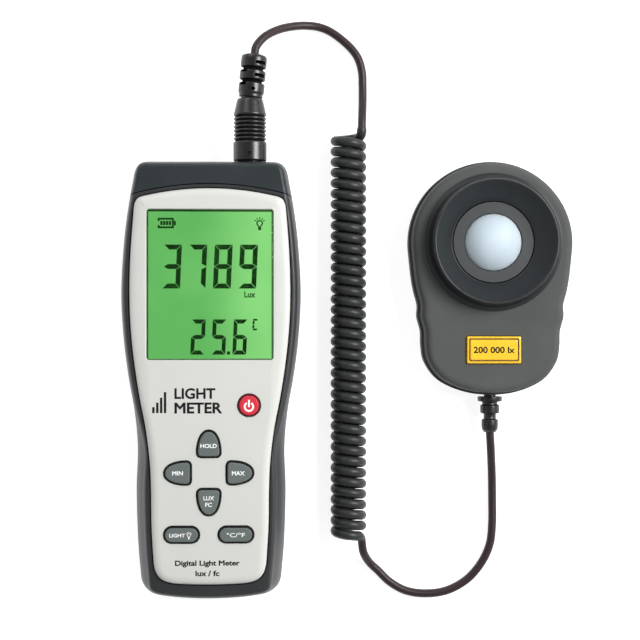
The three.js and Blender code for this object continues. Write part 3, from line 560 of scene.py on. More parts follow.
# From the plug's relief over an arch, down onto the surface, and back up into the coil's side, in metres.
TAIL_PLUG_ROUTE = [
    (0.01795, 0.13505, 0.017), (0.0187, 0.1382, 0.0164), (0.0222, 0.1426, 0.014), (0.028, 0.1464, 0.0096),
    (0.0344, 0.1486, 0.0056), (0.0402, 0.1494, 0.003), (0.0456, 0.1489, 0.0019), (0.0509, 0.1466, 0.0019),
    (0.0574, 0.1415, 0.0019), (0.0615, 0.1364, 0.0019), (0.0634, 0.1304, 0.0019), (0.0637, 0.124, 0.0021),
    (0.0636, 0.117, 0.0036), (0.0632, 0.1106, 0.0066), (0.063, 0.1051, 0.0077)]

# Out of the coil's other end, round a wide bend, and up into the sensor head's relief, in metres.
TAIL_HEAD_ROUTE = [
    (0.063, -0.0693, 0.0077), (0.0638, -0.0736, 0.0062), (0.0664, -0.0782, 0.003), (0.0702, -0.082, 0.0019),
    (0.0754, -0.087, 0.0019), (0.0824, -0.0908, 0.0019), (0.091, -0.092, 0.0019), (0.1, -0.0907, 0.0019),
    (0.1084, -0.0861, 0.0019), (0.1146, -0.079, 0.0019), (0.1182, -0.071, 0.0019), (0.1192, -0.062, 0.0019),
    (0.1192, -0.052, 0.002), (0.1189, -0.0416, 0.003), (0.1178, -0.03, 0.0069), (0.1173, -0.0236, 0.008)]


def coil_path():
    """The curly stretch, a left-handed helix along the surface."""
    low, high = box_mm("cord_coil")
    axis_x, _, axis_z = middle("cord_coil")
    clearance = 0.05
    radius = half_width("cord_coil") - COILED_RADIUS - clearance
    length = high[1] - low[1] - 2 * COILED_RADIUS
    steps = 36
    angles = np.arange(round(length / COIL_PITCH) * steps + 1) * 2 * math.pi / steps
    y = high[1] - COILED_RADIUS - length * angles / angles[-1]
    return np.stack([axis_x + radius * np.cos(angles), y, axis_z - radius * np.sin(angles)], 1)


def evened(path, step):
    """The path again with points step apart."""
    along = np.concatenate([[0], np.cumsum(np.linalg.norm(np.diff(path, axis=0), axis=1))])
    at = np.linspace(0, along[-1], round(along[-1] / step) + 1)
    return np.stack([np.interp(at, along, path[:, k]) for k in range(3)], 1), at


def relaxed(path, along, joints, reach, rounds):
    """Smooths the path near the given lengths along it, and leaves the rest as it is."""
    near = np.max([np.clip(1 - np.abs(along - j) / reach, 0, 1) for j in joints], axis=0)[:, None]
    for _ in range(rounds):
        even = path.copy()
        even[1:-1] = (path[:-2] + path[1:-1] + path[2:]) / 3
        path = path + (even - path) * np.minimum(near * 2, 1)
    return path


def length_of(path):
    return float(np.linalg.norm(np.diff(path, axis=0), axis=1).sum())


def cord():
    """One tube from the plug's strain relief to the sensor head's, its ends just inside them."""
    first = spline(np.array(TAIL_PLUG_ROUTE) / MM, 12)
    last = spline(np.array(TAIL_HEAD_ROUTE) / MM, 12)
    coil = coil_path()
    into_head = last[-1] + unit(last[-1] - last[-2]) * 1.6
    into_plug = first[0] - unit(first[1] - first[0]) * 1.2
    joints = [length_of(first), length_of(np.vstack([first, coil]))]
    path, along = evened(np.vstack([[into_plug], first, coil, last, [into_head]]), step=0.7)
    path = relaxed(path, along, joints, reach=9, rounds=14)
    coiled = smoothstep(along, joints[0], joints[0] + 2) * (1 - smoothstep(along, joints[1] - 2, joints[1]))
    sides = 14
    tube = swept("cord", path, CORD_RADIUS + (COILED_RADIUS - CORD_RADIUS) * coiled, sides)
    layer = tube.data.attributes.new("coiled", "FLOAT", "POINT")
    layer.data.foreach_set("value", np.repeat(coiled, sides).astype(np.float32))
    nodes = ["cord_tail_plug", "cord_coil", "cord_tail_head"]
    return place(tube, "probe", "cord_rubber", [cord_jacket], nodes), path


make_camera()
cord_tube, cord_path = cord()

# ---- display unit: casing

METER = fitted(meter_ring(), "rear_shell", "top_cap")
PANEL = fitted(panel_ring(), "front_panel")
SEAM_MIDDLE_Y = 79.6
SEAM_RADIUS = 118.6
PANEL_GROOVE = 0.5
METER_NORMALS = corner_normals(METER)[0]
SCREW_PLACES = [(22, 73.6), (-22, 73.6), (24.3, -70), (-24.3, -70)]
SHANK_HOLE = 1.45


def shoulder():
    """How much more the walls lean inwards below the waist than beside the display."""
    across, along = METER_NORMALS.T ** 2
    return smoothstep(-METER[:, 1], 8, 32) * (2.2 * across + 0.5 * along)


REAR_LEVELS = [(0, 4.4), (0.3, 3.5), (0.9, 2.7), (2.4, 1.5), (5.5, 0.5), (10, 0.1), (17.6, 0)]
FRONT_LEVELS = [(17.9, 0), (24, 0.6 + 0.4 * shoulder()), (29.4, 1.5 + shoulder()), (30.6, 1.85 + shoulder()),
                (31.4, 2.35 + shoulder()), (31.85, 2.9 + 0.97 * shoulder()), (32, 3.5 + 0.95 * shoulder())]
CAVITY_LEVELS = [(2.4, 4.4), (6, 3), (10, 2.6), (28.8, 4.2)]


def seam_side(cap_side):
    """A slab that holds everything on one side of the arched seam."""
    radius = SEAM_RADIUS + (GAP + 0.1 if cap_side else 0)
    reach, far = 42, 140 if cap_side else -140
    half_angle = math.degrees(math.asin(reach / radius))
    seam = arc(0, SEAM_MIDDLE_Y - SEAM_RADIUS, radius, 90 - half_angle, 90 + half_angle, 40)
    return upright("seam_side", np.vstack([seam, [(-reach, far), (reach, far)]]), -1, 40)


def screw_holes(places, top):
    """Holes for the screws' shanks, each with a counterbore for the head."""
    return pegs(places, SHANK_HOLE, -1, top) + pegs(places, 2.6, -1, 3.4, 40)


def casing(name, ring, levels, hollow, posts, holes):
    """A shell: a hollowed body with screw posts in it and holes through it."""
    body = stacked(name, ring, levels, 3)
    carve(body, "DIFFERENCE", stacked("hollow", ring, hollow))
    carve(body, "UNION", *posts)
    return carve(body, "DIFFERENCE", *holes)


def rear_casing():
    low, high = box_mm("battery_door")
    doorway = block("doorway", (low[0] - GAP, -100, -1), (high[0] + GAP, high[1] + GAP, 2.5))
    rear = casing("rear_casing", METER, REAR_LEVELS, CAVITY_LEVELS[:3] + [(18.2, 2.6)],
                  pegs(SCREW_PLACES, 3.6, 1, 17.3, 32), [doorway, *screw_holes(SCREW_PLACES, 18)])
    carve(rear, "INTERSECT", seam_side(False))
    place(rear, "meter", "dark_plastic", [shell], ["rear_shell"])


def door():
    """The battery door, with grip ridges and an arrow that points the way it opens."""
    low, high = box_mm("battery_door")
    ring = rounded_rectangle(low[0], high[0], low[1] - 20, high[1], 0.8)
    plate = upright("door", ring, low[2], high[2])
    carve(plate, "INTERSECT", stacked("limit", METER, REAR_LEVELS, 3))
    grooves = [upright("groove", rounded_rectangle(-7, 7, y, y + 1.2, 0.55), -1, low[2] + 0.5)
               for y in low[1] + 8 + 2.4 * np.arange(5)]
    tip = low[1] + 23
    arrow = upright("arrow", [(0, tip), (3.2, tip + 4.5), (-3.2, tip + 4.5)], -1, low[2] + 0.4)
    carve(plate, "DIFFERENCE", arrow, *grooves)
    place(plate, "battery_door", "dark_plastic", [shell], ["battery_door"])


def display_space(base, top):
    """The space that the display stands in, with its gap all round."""
    low, high = box_mm("lcd_glass")
    return block("display_space", (low[0] - GAP, low[1] - GAP, base), (high[0] + GAP, high[1] + GAP, top))


def front_band():
    """The dark frame round the panel. Its deck carries the panel and the keys."""
    posts = pegs(SCREW_PLACES[:2], 2.4, 17.9, 29, 32) + pegs(SCREW_PLACES[2:], 2.4, 17.9, 26.8, 32)
    recess = upright("recess", inset(PANEL, -PANEL_GROOVE), 30.4, 34)
    key_holes = [upright("key_hole", key_outline(name), 27, 31) for name in KEYS]
    holes = [recess, display_space(20, 31), *pegs(SCREW_PLACES, SHANK_HOLE, 10, 26), *key_holes]
    front = casing("front_band", METER, FRONT_LEVELS, [(17, 2.8), (28.8, 4.2)], posts, holes)
    carve(front, "INTERSECT", seam_side(False))
    place(front, "meter", "dark_plastic", [shell], ["front_frame"])


def end_cap():
    """One cap over the end of both shells, with the hole that the plug goes into."""
    section = [(0, 84.6), (5.4, 84.6), (5.4, 89.6), (6, 90.4), (0, 90.4)]
    bore = turned("bore", section, middle("plug_body"), "Y", 48)
    cap = stacked("end_cap", METER, REAR_LEVELS + FRONT_LEVELS[1:], 3)
    carve(cap, "DIFFERENCE", stacked("hollow", METER, CAVITY_LEVELS + [(29.6, 4.2)]), bore)
    carve(cap, "INTERSECT", seam_side(True))
    place(cap, "meter", "cap_plastic", [cap_finish], ["top_cap"])


def face_panel():
    """The white panel: edges that roll off, wider beside the display, with a lip round the window."""
    back, face = heights("front_panel")
    wide = 2.6 * smoothstep(PANEL[:, 1], -16, 6) * corner_normals(PANEL)[0][:, 0] ** 2
    levels = [(back, 0.05), (back + 1.5, 0.05), (back + 2.3, 0.5), (back + 2.9, 1.3 + 0.3 * wide),
              (back + 3.2, 2.3 + 0.8 * wide), (face, 3.2 + wide)]
    panel = stacked("face_panel", PANEL, levels, 3)
    lip = [(back - 1, 0), (face - 0.5, 0), (face - 0.15, -0.15), (face + 0.6, -0.9)]
    window = stacked("window_hole", rectangle_over("display_window", 1.2, GAP), lip)
    pocket = display_space(back - 1, heights("lcd_glass")[1] + GAP)
    soft_edge = [(back - 1, 0), (face - 0.2, 0), (face + 0.5, -0.7)]
    key_holes = [stacked("key_hole", key_outline(name), soft_edge) for name in KEYS]
    carve(panel, "DIFFERENCE", window, pocket, *key_holes)
    place(panel, "meter", "white_plastic", [white], ["front_panel"])


# ---- display unit: keys

NOSE_TURNS = {"key_hold": 0, "key_min": math.pi / 2, "key_max": -math.pi / 2, "key_units": math.pi}
KEYS = [*NOSE_TURNS, "key_light", "key_temperature", "key_power"]
KEY_FLOOR = 30
EDGE_WIDTH = 0.55


def nose_outline():
    """A key of the cross: a flat foot towards the cross's middle, and a round nose away from it."""
    return mirrored(
        [(0, -5.75), (1.4, -5.75)],
        bezier([(2.7, -5.75), (4.4, -5.75), (5.2, -4.7), (5.1, -3.2)], 8),
        bezier([(5.1, -3.2), (5.0, 1.2), (3.5, 5.75), (0, 5.75)], 16),
        [(0, 5.75)])


def key_outline(name):
    """The outline of a key's hole."""
    x, y, _ = middle(name)
    if name == "key_power":
        return circle(x, y, 4.75, 64)
    if name not in NOSE_TURNS:
        return rounded_rectangle(x - 7.4, x + 7.4, y - 3.65, y + 3.65, 3.65, 12)
    c, s = math.cos(NOSE_TURNS[name]), math.sin(NOSE_TURNS[name])
    return nose_outline() @ np.array([[c, s], [-s, c]]) + [x, y]


def key_top(name):
    """The height of a key's print surface, just under its CAD box's top."""
    return heights(name)[1] - 0.06


def keycap(name):
    """A key: a black edge all round, and a crowned top. The edge is dark rubber and also painted shade for the
    gap round the key; on the power key it is a darker red, all painted shade.
    """
    top = key_top(name)
    edge = GAP + EDGE_WIDTH
    levels = [(KEY_FLOOR, GAP), (top - 1.1, GAP), (top - 0.7, GAP + 0.1), (top - 0.5, edge),
              (top - 0.22, edge + 0.08), (top - 0.06, edge + 0.25), (top, edge + 0.6)]
    cap = stacked(name + "_cap", key_outline(name), levels)
    # painted shade: the key's lower sides, seen as a rim round its top, take the dark edge material
    paint_where(cap, 1, lambda centre, normal: centre.z < top - 0.52 and normal.z < 0.95)
    red = name == "key_power"
    finishes = [power_red, power_edge_shade] if red else [key_grey, key_edge_black_and_shade]
    place(cap, name, "red_rubber" if red else "grey_rubber", finishes, [name], 60)


# ---- print

def print_solid(name, rings, z, thickness=0.04):
    """Flat print made of outlines, each one a thin closed body."""
    return joined(name, [upright("stroke", ring, z, z + thickness) for ring in rings])


def lettering(text, x, y, width, height, z, bold=0.03, thickness=0.04):
    """One line of raised print that fills a box about (x, y)."""
    curve = bpy.data.curves.new("line", "FONT")
    curve.body = text
    curve.extrude = 0.02
    curve.bevel_depth = bold
    curve.bevel_resolution = 0
    curve.resolution_u = 4
    holder = added("line", curve)
    data = shape_of(holder)
    data.materials.clear()
    bpy.data.objects.remove(holder)
    work = bmesh.new()
    work.from_mesh(data)
    bmesh.ops.remove_doubles(work, verts=work.verts, dist=1e-5)
    work.to_mesh(data)
    work.free()
    points = np.array([v.co for v in data.vertices])
    low, high = points.min(0), points.max(0)
    corner = np.array([x - width / 2, y - height / 2, z])
    points = (corner + (points - low) / (high - low) * [width, height, thickness]) * MM
    data.vertices.foreach_set("co", points.astype(np.float32).ravel())
    return added("line", data)


def stroke(x0, y0, x1, y1, width):
    """A straight stroke's four corners."""
    ends = np.array([(x0, y0), (x1, y1)], float)
    side = unit(np.array([y0 - y1, x1 - x0], float)) * width / 2
    return [ends[0] - side, ends[1] - side, ends[1] + side, ends[0] + side]


def arc_stroke(x, y, radius, start, end, width, steps=20):
    """An open ring's outline."""
    outer, inner = (np.vstack([arc(x, y, r, start, end, steps), arc(x, y, r, end, end, 1)])
                    for r in (radius + width / 2, radius - width / 2))
    return np.vstack([outer, inner[::-1]])


LEGENDS = {  # text, place on the key, width, height, boldness
    "key_hold": [("HOLD", 0, -0.7, 6.6, 1.7, 0.03)],
    "key_min": [("MIN", 0.1, 0.1, 4.3, 1.7, 0.03)],
    "key_max": [("MAX", -0.6, 0, 5.2, 1.7, 0.03)],
    "key_units": [("LUX", 0.1, 1.7, 4.3, 1.65, 0.02), ("FC", 0, -0.9, 2.7, 1.65, 0.02)],
    "key_light": [("LIGHT", -1.7, -0.1, 6.3, 1.5, 0.03)],
    "key_temperature": [("°C/°F", 0, 0, 7.4, 1.75, 0.012)],
}
LEGEND_THICKNESS = 0.05


def key_legends():
    """The generic legends on the keys, white and slightly raised."""
    for name, lines in LEGENDS.items():
        x, y, _ = middle(name)
        parts = [lettering(text, x + dx, y + dy, width, height, key_top(name), bold, LEGEND_THICKNESS)
                 for text, dx, dy, width, height, bold in lines]
        if name == "key_light":
            parts.append(bulb(x + 3.0, y - 0.1, 0.56, key_top(name), LEGEND_THICKNESS, 1.2))
        place(joined(name + "_legend", parts), name, "grey_rubber", [print_white], angle=0)
    x, y, _ = middle("key_power")
    strokes = [arc_stroke(x, y - 0.45, 1.7, 122, 418, 0.75), stroke(x, y - 0.6, x, y + 2.3, 0.75)]
    symbol = print_solid("key_power_symbol", strokes, key_top("key_power"), LEGEND_THICKNESS)
    place(symbol, "key_power", "red_rubber", [print_white], angle=0)


def bulb(x, y, size, z, thickness, weight):
    """A small lamp pictogram: bulb outline, stem and rays."""
    y_bulb = y + 0.3 * size
    rings = [arc_stroke(x, y_bulb, 1.15 * size, -70, 250, 0.38 * size * weight, 16),
             stroke(x, y - 0.95 * size, x, y - 2.6 * size, 0.85 * size * weight)]
    for angle in np.radians([30, 60, 90, 120, 150]):
        ray = size * np.array([math.cos(angle), math.sin(angle)])
        rings.append(stroke(*((x, y_bulb) + 1.75 * ray), *((x, y_bulb) + 2.5 * ray), 0.3 * size * weight))
    return print_solid("bulb", rings, z, thickness)


def panel_print():
    """Generic wording on the white panel, and a plain row of rising bars."""
    z = heights("front_panel")[1]
    foot = -12.6
    places = -22.6 + 1.55 * np.arange(4)
    bars = [stroke(x, foot, x, foot + height, 0.95) for x, height in zip(places, (2.4, 4.2, 6.2, 8.4))]
    parts = [
        print_solid("bars", bars, z),
        lettering("LIGHT", -6, -4.8, 16.4, 4.4, z),
        lettering("METER", -4.6, -10.6, 19.2, 4.4, z),
        lettering("Digital Light Meter", -1, -73.3, 26, 2.8, z, 0.032),
        lettering("lux / fc", -1, -77.15, 9.6, 2.3, z, 0.032),
    ]
    place(joined("panel_print", parts), "meter", "white_plastic", [print_black], angle=0)


# ---- display

SEGMENTS = {"2": "abged", "3": "abgcd", "5": "afgcd", "6": "afgedc", "7": "abc", "8": "abcdefg", "9": "abcdfg"}


def digit(character, right, base, width, height, bar, post, slant):
    """A seven-segment digit's outlines, mitred, with thin gaps. right is its edge at the top."""
    gap = 0.13
    half, inner = height / 2, width - post
    below, above = half - bar / 2, half + bar / 2
    a = [(gap, height), (width - gap, height), (inner - gap, height - bar), (post + gap, height - bar)]
    b = [(width, height - gap), (inner, height - bar - gap), (inner, above + gap), (width, half + gap)]
    f = [(width - x, y) for x, y in b]
    g = [(2 * gap, half), (post, above), (inner, above), (width - 2 * gap, half), (inner, below), (post, below)]
    shapes = {"a": a, "b": b, "f": f, "g": g}
    for upper, lower in ("ad", "bc", "fe"):
        shapes[lower] = [(x, height - y) for x, y in shapes[upper]]
    left = right - width - height * slant
    return [[(left + x + y * slant, base + y) for x, y in shapes[s]] for s in SEGMENTS[character]]


def display_segments():
    """The dark segments on the display: two readings, a unit, and the battery and lamp marks."""
    z = heights("lcd_glass")[1]
    slant = math.tan(math.radians(2.6))
    rings = []
    for i, character in enumerate("3789"):
        rings += digit(character, -11.25 + 10.2 * i, 37.45, 7.2, 17.7, 2.0, 1.95, slant)
    for i, character in enumerate("256"):
        rings += digit(character, -1.7 + 8.45 * i, 10.8, 5.6, 14.2, 1.7, 1.55, slant)
    rings.append([(6.8, 10.8), (8.1, 10.8), (8.1, 12.1), (6.8, 12.1)])
    rings += [stroke(17.4, 21.4, 17.5, 22.75, 0.8), stroke(17.5, 23.05, 17.6, 24.4, 0.8),
              stroke(17.2, 20.95, 18.9, 20.95, 0.7), stroke(17.4, 24.85, 19.1, 24.85, 0.7)]
    rings += battery_mark(-21.0, -13.7, 61.7, 65.9)
    parts = [print_solid("segments", rings, z), lettering("Lux", 16.05, 35.05, 4.5, 2.5, z),
             bulb(20.0, 63.5, 0.95, z, 0.04, 1.5)]
    place(joined("display_segments", parts), "meter", "display", [segment_and_shade_green], angle=0)


def battery_mark(x0, x1, y0, y1):
    """A full battery: an outline that is open on the left, a nose on the right, and four bars."""
    line = 0.75
    left, right, end = x0 + line / 2, x1 - 0.8 - line / 2, x1 - 0.8
    low, high, half = y0 + line, y1 - line, (y0 + y1) / 2
    rings = [stroke(x0, y, end, y, line) for y in (y1 - line / 2, y0 + line / 2)]
    rings += [stroke(right, low, right, high, line), stroke(end + 0.05, half, x1, half, 1.9),
              stroke(left, low, left, y0 + 1.3, line), stroke(left, y1 - 1.3, left, high, line)]
    return rings + [stroke(x, y0 + 1.25, x, y1 - 1.25, 0.9) for x in x0 + 1.5 + 1.15 * np.arange(4)]


def window_edge_shade():
    """A dark band painted on the display just inside the window, as painted shade for the window edge's shadow:
    widest along the top, thinnest along the bottom.
    """
    low, high = box_mm("display_window")
    rings = [stroke(x, low[1] - 0.6, x, high[1] + 0.6, 1) for x in (low[0] - 0.1, high[0] + 0.1)]
    rings += [stroke(low[0] + 0.4, y, high[0] - 0.4, y, 1) for y in (high[1] - 0.05, low[1] - 0.3)]
    edge = print_solid("window_edge_shade", rings, heights("lcd_glass")[1])
    place(edge, "meter", "display", [segment_and_shade_green], angle=0)


def display():
    back, face = heights("lcd_glass")
    glass = stacked("display_face", rectangle_over("lcd_glass", 0.8),
                    [(back, 0.2), (back + 0.2, 0), (face - 0.2, 0), (face, 0.2)])
    place(glass, "meter", "display", [display_green], ["lcd_glass"])
    back, face = heights("display_window")
    pane = stacked("window_pane", rectangle_over("display_window", 1),
                   [(back, 0), (face - 0.25, 0), (face - 0.07, 0.08), (face, 0.25)])
    place(pane, "meter", "clear_plastic", [window_clear], ["display_window"])
    display_segments()
    # painted shade round the inside of the window
    window_edge_shade()


# ---- plug

def plug_grip():
    """The moulded grip: a smooth stretch with an index dimple, seven rings with painted shade in the hollows
    between them, then a shoulder and a taper.
    """
    low, high = box_mm("plug_body")
    base, wide = low[1], half_width("plug_body")
    x, _, z = centre = middle("plug_body")
    profile = [(0, base - 0.9), (5.2, base - 0.9), (5.2, base - 0.2), (wide - 0.15, base - 0.2),
               (wide, base + 0.1), (wide, base + 7.4)]
    for y in base + 8 + 1.65 * np.arange(7):
        profile += [(6.05, y), (6.1, y + 0.35), (6.7, y + 0.65), (6.75, y + 1.25)]
    profile += [(6.6, high[1] - 6), (5.5, high[1] - 1.2), (5.1, high[1]), (0, high[1])]
    grip = turned("plug_grip", profile, centre, "Y", 72, soft=0.35, steps=2)
    carve(grip, "DIFFERENCE", *pegs([(x - 0.3, base + 2.4)], 0.75, z + wide - 0.9, z + 9))

    # painted shade: the faces in the hollows between the rings
    def ring_hollow_shade(c, normal):
        return base + 7.6 < c.y < base + 19.3 and math.hypot(x - c.x, z - c.z) < 6.2

    paint_where(grip, 1, ring_hollow_shade)
    return place(grip, "probe", "plug_rubber", [plug_grey, groove_shade], ["plug_body"], 40)


def plug_strain_relief():
    """Three ribs with flex slots cut between them, leaning the way that the cord leaves. The grooves and slots
    get painted shade.
    """
    lean = math.radians(5.3)
    x, _, z = middle("plug_body")
    foot = Vector((x + 0.25, box_mm("plug_body")[1][1] + 0.5, z))
    profile = [(0, -0.4), (4, -0.4), (4, 0), (4.95, 0), (4.85, 1.2), (5.2, 1.9)]
    for y in (2.1, 7.3, 12.5):
        profile += [(5.35, y), (5.35, y + 3.6), (4.1, y + 4.0), (4.1, y + 5.0)]
    profile = profile[:-2] + [(5.1, 17.2), (3.4, 17.9), (0, 17.9)]
    relief = turned("plug_strain_relief", profile, (0, 0, 0), "Y", 64, soft=0.35, steps=2)
    slots = ((0.1, 1.6, 3.2), (0.8, 6, 8.9), (0.8, 6, 14.2), (-6, -2.4, 5.2), (-6, -2.4, 10.6))
    carve(relief, "DIFFERENCE", *[
        upright("slot", rounded_rectangle(x0, x1, y - 0.75, y + 0.75, 0.7), 2.4, 8) for x0, x1, y in slots])
    # painted shade: the faces sunk below the ribs, in the grooves and the slots
    paint_where(relief, 1, lambda c, normal: 1.4 < c.y < 17 and math.hypot(c.x, c.z) < 4.85)
    relief.data.transform(Matrix.Translation(foot * MM) @ Matrix.Rotation(-lean, 4, "Z"))
    return place(relief, "probe", "relief_rubber", [relief_black, groove_shade], ["plug_relief"], 40)


def plug_contacts():
    """The metal barrel and its four pins, seen when the plug is out."""
    (_, back, _), (_, front, _) = box_mm("plug_barrel")
    wide = half_width("plug_barrel")
    section = [(wide - 0.6, back), (wide - 0.1, back), (wide, back + 0.3), (wide, front), (wide - 0.6, front),
               (wide - 0.6, back)]
    barrel = turned("plug_shield", section, middle("plug_barrel"), "Y", 64, closed=True, soft=0.1, steps=2)
    place(barrel, "probe", "steel", [steel], ["plug_barrel"], 40)
    for i in range(1, 5):
        node = f"plug_pin_{i}"
        (_, back, _), (_, front, _) = box_mm(node)
        wide = half_width(node)
        profile = [(0, back), (wide / 2, back), (wide, back + 0.5), (wide, front), (0, front)]
        pin = turned(f"plug_contact_{i}", profile, middle(node), "Y", 24, soft=0.2)
        place(pin, "probe", "steel", [steel], [node], 40)


# ---- sensor head

def head_back(ring, screws):
    top = heights("head_rear_shell")[1]
    levels = [(0, 4.2), (0.4, 2.9), (1.2, 1.7), (3, 0.6), (6, 0.08), (top - 0.3, 0.06), (top, 0.25)]
    cord_hole = turned("cord_hole", [(0, -12), (2.8, -12), (2.8, 0), (0, 0)], middle("head_relief"), "Y", 32)
    rear = casing("head_back", ring, levels, [(2.2, 4.4), (top + 0.6, 2.4)],
                  pegs(screws, 3.4, 1, top - GAP, 32), [cord_hole, *screw_holes(screws, top + 1)])
    place(rear, "probe", "head_plastic", [head_grey], ["head_rear_shell"])


def head_front(ring, screws):
    """The front shell, with its opening for the collar and the badge's bed."""
    base = heights("head_rear_shell")[1] + GAP
    face = heights("head_front_shell")[1]
    levels = [(base, 1.25), (base + 0.4, 1.0), (16, 1.15), (18, 1.4), (19.1, 2.0), (19.75, 2.9), (face, 4.2)]
    holes = pegs([middle("head_collar")], half_width("dome_ring") + 2.3, 10, 30, 72)
    holes.append(upright("badge_bed", rectangle_over("range_badge", 0.7, GAP), face - 0.9, face + 1))
    front = casing("head_face", ring, levels, [(base - 0.6, 3.4), (face - 2, 5.4)],
                   pegs(screws, 2.4, base, face - 1.6, 32), holes + pegs(screws, SHANK_HOLE, 10, 16.2))
    place(front, "probe", "head_plastic", [head_grey], ["head_front_shell"])


def collar():
    """The raised collar: a stout wall, a rounded rim, and a cup that slopes down to the ring."""
    foot, rim = heights("head_collar")
    wide = half_width("head_collar")
    base = heights("head_front_shell")[1] + GAP
    cup, floor = half_width("dome_ring") + GAP, heights("dome_ring")[1] + 0.2
    section = [(wide, base), (wide - 1.2, base + 0.5), (wide - 2.2, base + 2), (wide - 2.8, rim - 0.9),
               (wide - 3.2, rim), (wide - 3.9, rim - 0.25), (cup + 0.6, floor + 0.4), (cup, floor),
               (cup, foot), (cup + 1.7, foot), (cup + 1.7, base), (wide, base)]
    ring = turned("collar", section, middle("head_collar"), "Z", 128, closed=True, soft=0.5, steps=4)
    place(ring, "probe", "collar_plastic", [collar_grey], ["head_collar"], 40)


def ring_and_dome():
    """The ring that holds the dome, and the dome: a cap of a sphere on a short skirt."""
    back, face = heights("dome_ring")
    foot, crown = heights("diffuser_dome")
    centre, outer, radius = middle("dome_ring"), half_width("dome_ring"), half_width("diffuser_dome")
    inner, ledge = radius + GAP, foot - GAP
    section = [(inner, face), (inner, ledge), (inner - 1.6, ledge), (inner - 1.6, back), (outer, back),
               (outer, face), (inner, face)]
    ring = turned("ring", section, centre, "Z", 96, closed=True, soft=0.2)
    place(ring, "probe", "ring_plastic", [ring_grey], ["dome_ring"], 40)
    height = crown - (face - 0.5)
    sphere = (radius**2 + height**2) / (2 * height)
    reaches = radius * np.cos(np.linspace(0, math.pi / 2, 24)[:-1])
    cap = [(r, crown - sphere + math.sqrt(sphere**2 - r**2)) for r in reaches]
    dome = turned("dome", [(0, foot), (radius, foot), *cap, (0, crown)], centre, "Z", 96)
    place(dome, "probe", "diffuser", [diffuser_milk], ["diffuser_dome"], 40)


def badge():
    """The yellow badge: a rim, a groove darkened with painted shade, and a raised field with a generic range on
    it.
    """
    (_, _, back), (right, far, top) = box_mm("range_badge")
    levels = [(back, 0), (top - 0.35, 0), (top - 0.05, 0.3), (top - 0.05, 0.75), (top - 0.5, 0.95),
              (top - 0.5, 1.4), (top - 0.15, 1.6), (top - 0.05, 1.95)]
    rings = []
    for height, depth in levels:
        ring = rectangle_over("range_badge", 0.7, -depth)
        rings.append(np.column_stack([ring, np.full(len(ring), height)]))
    plate = lofted("badge", rings)
    x, y, _ = middle("range_badge")

    def in_shaded_groove(c, normal):
        inside = abs(c.x - x) < right - x - 0.85 and abs(c.y - y) < far - y - 0.85
        return inside and c.z < top - 0.4 and normal.z > 0.1

    # painted shade on the groove's floor
    paint_where(plate, 1, in_shaded_groove)
    place(plate, "probe", "badge", [badge_yellow, badge_groove_shade], ["range_badge"], 50)
    text = lettering("200 000 lx", x, y, 17.2, 2.7, top - 0.05, 0.025)
    place(joined("badge_print", [text]), "probe", "badge", [print_black], angle=0)


def head_strain_relief():
    """The head's relief, from the cord up: a bulb, a drum, a flange and a stem into the shell."""
    foot = box_mm("head_relief")[0][1]
    profile = [(0, 0), (2.4, 0), (3.3, 1.3), (3.5, 3), (3.5, 5.3), (2.6, 5.8), (2.6, 7.8), (4, 8.2),
               (4.05, 11.4), (3.2, 11.8), (3.2, 12.9), (5.1, 13.2), (5.2, 15.1), (2.5, 15.1), (2.5, 20.8),
               (0, 20.8)]
    profile = [(r, foot + y) for r, y in profile]
    relief = turned("head_strain_relief", profile, middle("head_relief"), "Y", 56, soft=0.3, steps=2)
    return place(relief, "probe", "relief_rubber", [relief_black], ["head_relief"], 40)


# ---- fasteners, batteries and inner pieces

def screw(node, body):
    """A pan-head screw with a cross recess, head down."""
    foot, tip = heights(node)
    wide = half_width(node)
    profile = [(0, foot), (wide * 0.75, foot), (wide, foot + 0.7), (wide, foot + 1.7), (wide / 2, foot + 1.7),
               (wide / 2, tip - 0.6), (wide / 4, tip), (0, tip)]
    x, y, _ = centre = middle(node)
    piece = turned(node + "_turned", profile, centre, "Z", 40, soft=0.25)
    carve(piece, "DIFFERENCE", *[
        upright("arm", stroke(x - dx, y - dy, x + dx, y + dy, 0.5), foot - 1, foot + 0.8)
        for dx, dy in ((1.2, 0), (0, 1.2))])
    place(piece, body, "steel", [steel], [node], 40)


def battery_cell(i):
    """A cell with a coloured jacket and bright ends. The middle one points the other way."""
    node = f"battery_{i}"
    (_, back, _), (_, front, _) = box_mm(node)
    radius, nose = half_width(node), 1
    half = (front - back - nose) / 2
    profile = softened([
        (0, -half), (4.5, -half), (radius, -half + 0.5), (radius, half - 0.5), (4.5, half), (1.9, half),
        (1.9, half + nose), (0, half + nose)], 0.3)
    seat, way = (front - half, -1) if i == 2 else (back + half, 1)
    cell = turned(node + "_turned", [(r, seat + way * y) for r, y in profile], middle(node), "Y", 48)
    paint_where(cell, 1, lambda c, normal: abs(c.y - seat) > half - 0.9)
    place(cell, "meter", "cell", [cell_jacket, steel], [node], 40)


INNER_FINISHES = {
    "backlight_panel": guide_white, "lcd_holder": inner_plastic, "zebra_strip": black_rubber,
    "main_board": board_green, "controller_chip": chip_black, "thermistor": chip_black,
    "keypad_sheet": black_rubber, "probe_socket": inner_plastic, "battery_box": inner_plastic,
    "filter_glass": filter_glass, "photodiode": silicon, "head_board": board_green,
    **{f"battery_{kind}_{i}": steel for kind in ("spring", "contact") for i in (1, 2, 3)},
}


def inner_pieces():
    """The carried-over CAD nodes keep their meshes and get the materials above."""
    for node, material in INNER_FINISHES.items():
        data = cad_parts[node].data
        data.materials.clear()
        data.materials.append(material)


# ---- studio

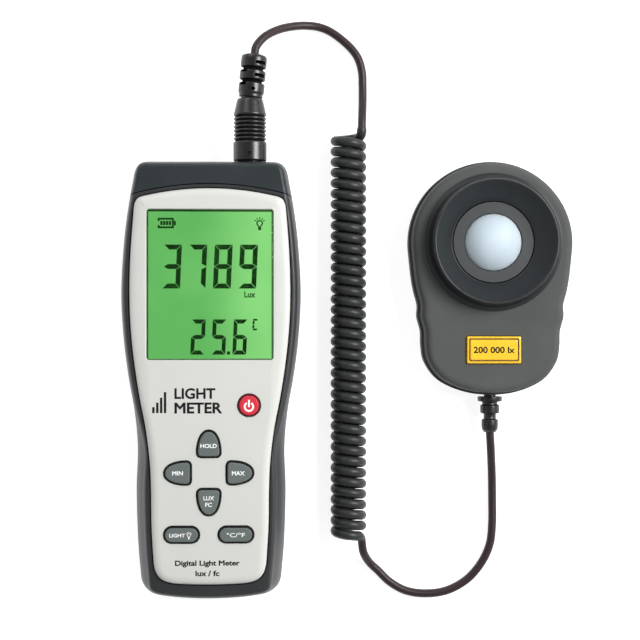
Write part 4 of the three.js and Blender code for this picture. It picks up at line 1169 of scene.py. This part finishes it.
def studio_floor():
    """A plain white floor, a little luminous, so that it stays pale in the soft shadows."""
    bpy.ops.mesh.primitive_plane_add(size=8, location=(0.05, 0.02, -0.0002))
    floor = bpy.context.active_object
    floor.name = "floor"
    made = Finish("floor_white", {
        "Base Color": (0.5, 0.5, 0.5, 1), "Roughness": 0.9, "Specular IOR Level": 0.1,
        "Emission Color": (1, 1, 1, 1), "Emission Strength": 0.82})
    floor.data.materials.append(made.material)


def surroundings():
    """White walls all round, and a dimmer ceiling."""
    world = bpy.data.worlds.new("surroundings")
    world.use_nodes = True
    tree = world.node_tree
    strength = ramp(tree, coordinate(tree, "Generated", "Z"), 0.7, 0.22, 0.35, 0.95, "SMOOTHSTEP")
    background = tree.nodes["Background"]
    set_sockets(background, {"Color": (1, 1, 1, 1)})
    tree.links.new(strength, background.inputs["Strength"])
    bpy.context.scene.world = world


def softbox(name, place, watts, size):
    """A large square lamp aimed at the object's middle."""
    data = bpy.data.lights.new(name, "AREA")
    data.size = size
    data.energy = watts
    lamp = added(name, data)
    lamp.location = place
    lamp.rotation_euler = (Vector((0.05, 0.02, 0)) - lamp.location).to_track_quat("-Z", "Y").to_euler()


def studio():
    studio_floor()
    surroundings()
    softbox("key_light", (0.58, 0.24, 0.62), 8.2, 0.4)
    softbox("fill_light", (-0.35, 0.75, 0.6), 1.6, 0.5)
    bpy.context.scene.view_settings.view_transform = "Standard"


rear_casing()
door()
front_band()
end_cap()
face_panel()
for key in KEYS:
    keycap(key)
key_legends()
panel_print()
display()
grip = plug_grip()
strain_relief = plug_strain_relief()
plug_contacts()
outline = head_ring()
screw_places = [middle(f"head_screw_{i}") for i in (1, 2, 3)]
head_back(outline, screw_places)
head_front(outline, screw_places)
collar()
ring_and_dome()
badge()
head_side_relief = head_strain_relief()
for i in range(1, 5):
    screw(f"case_screw_{i}", "meter")
for i in range(1, 4):
    screw(f"head_screw_{i}", "probe")
    battery_cell(i)
inner_pieces()
length_of(cord_path) * MM
studio()
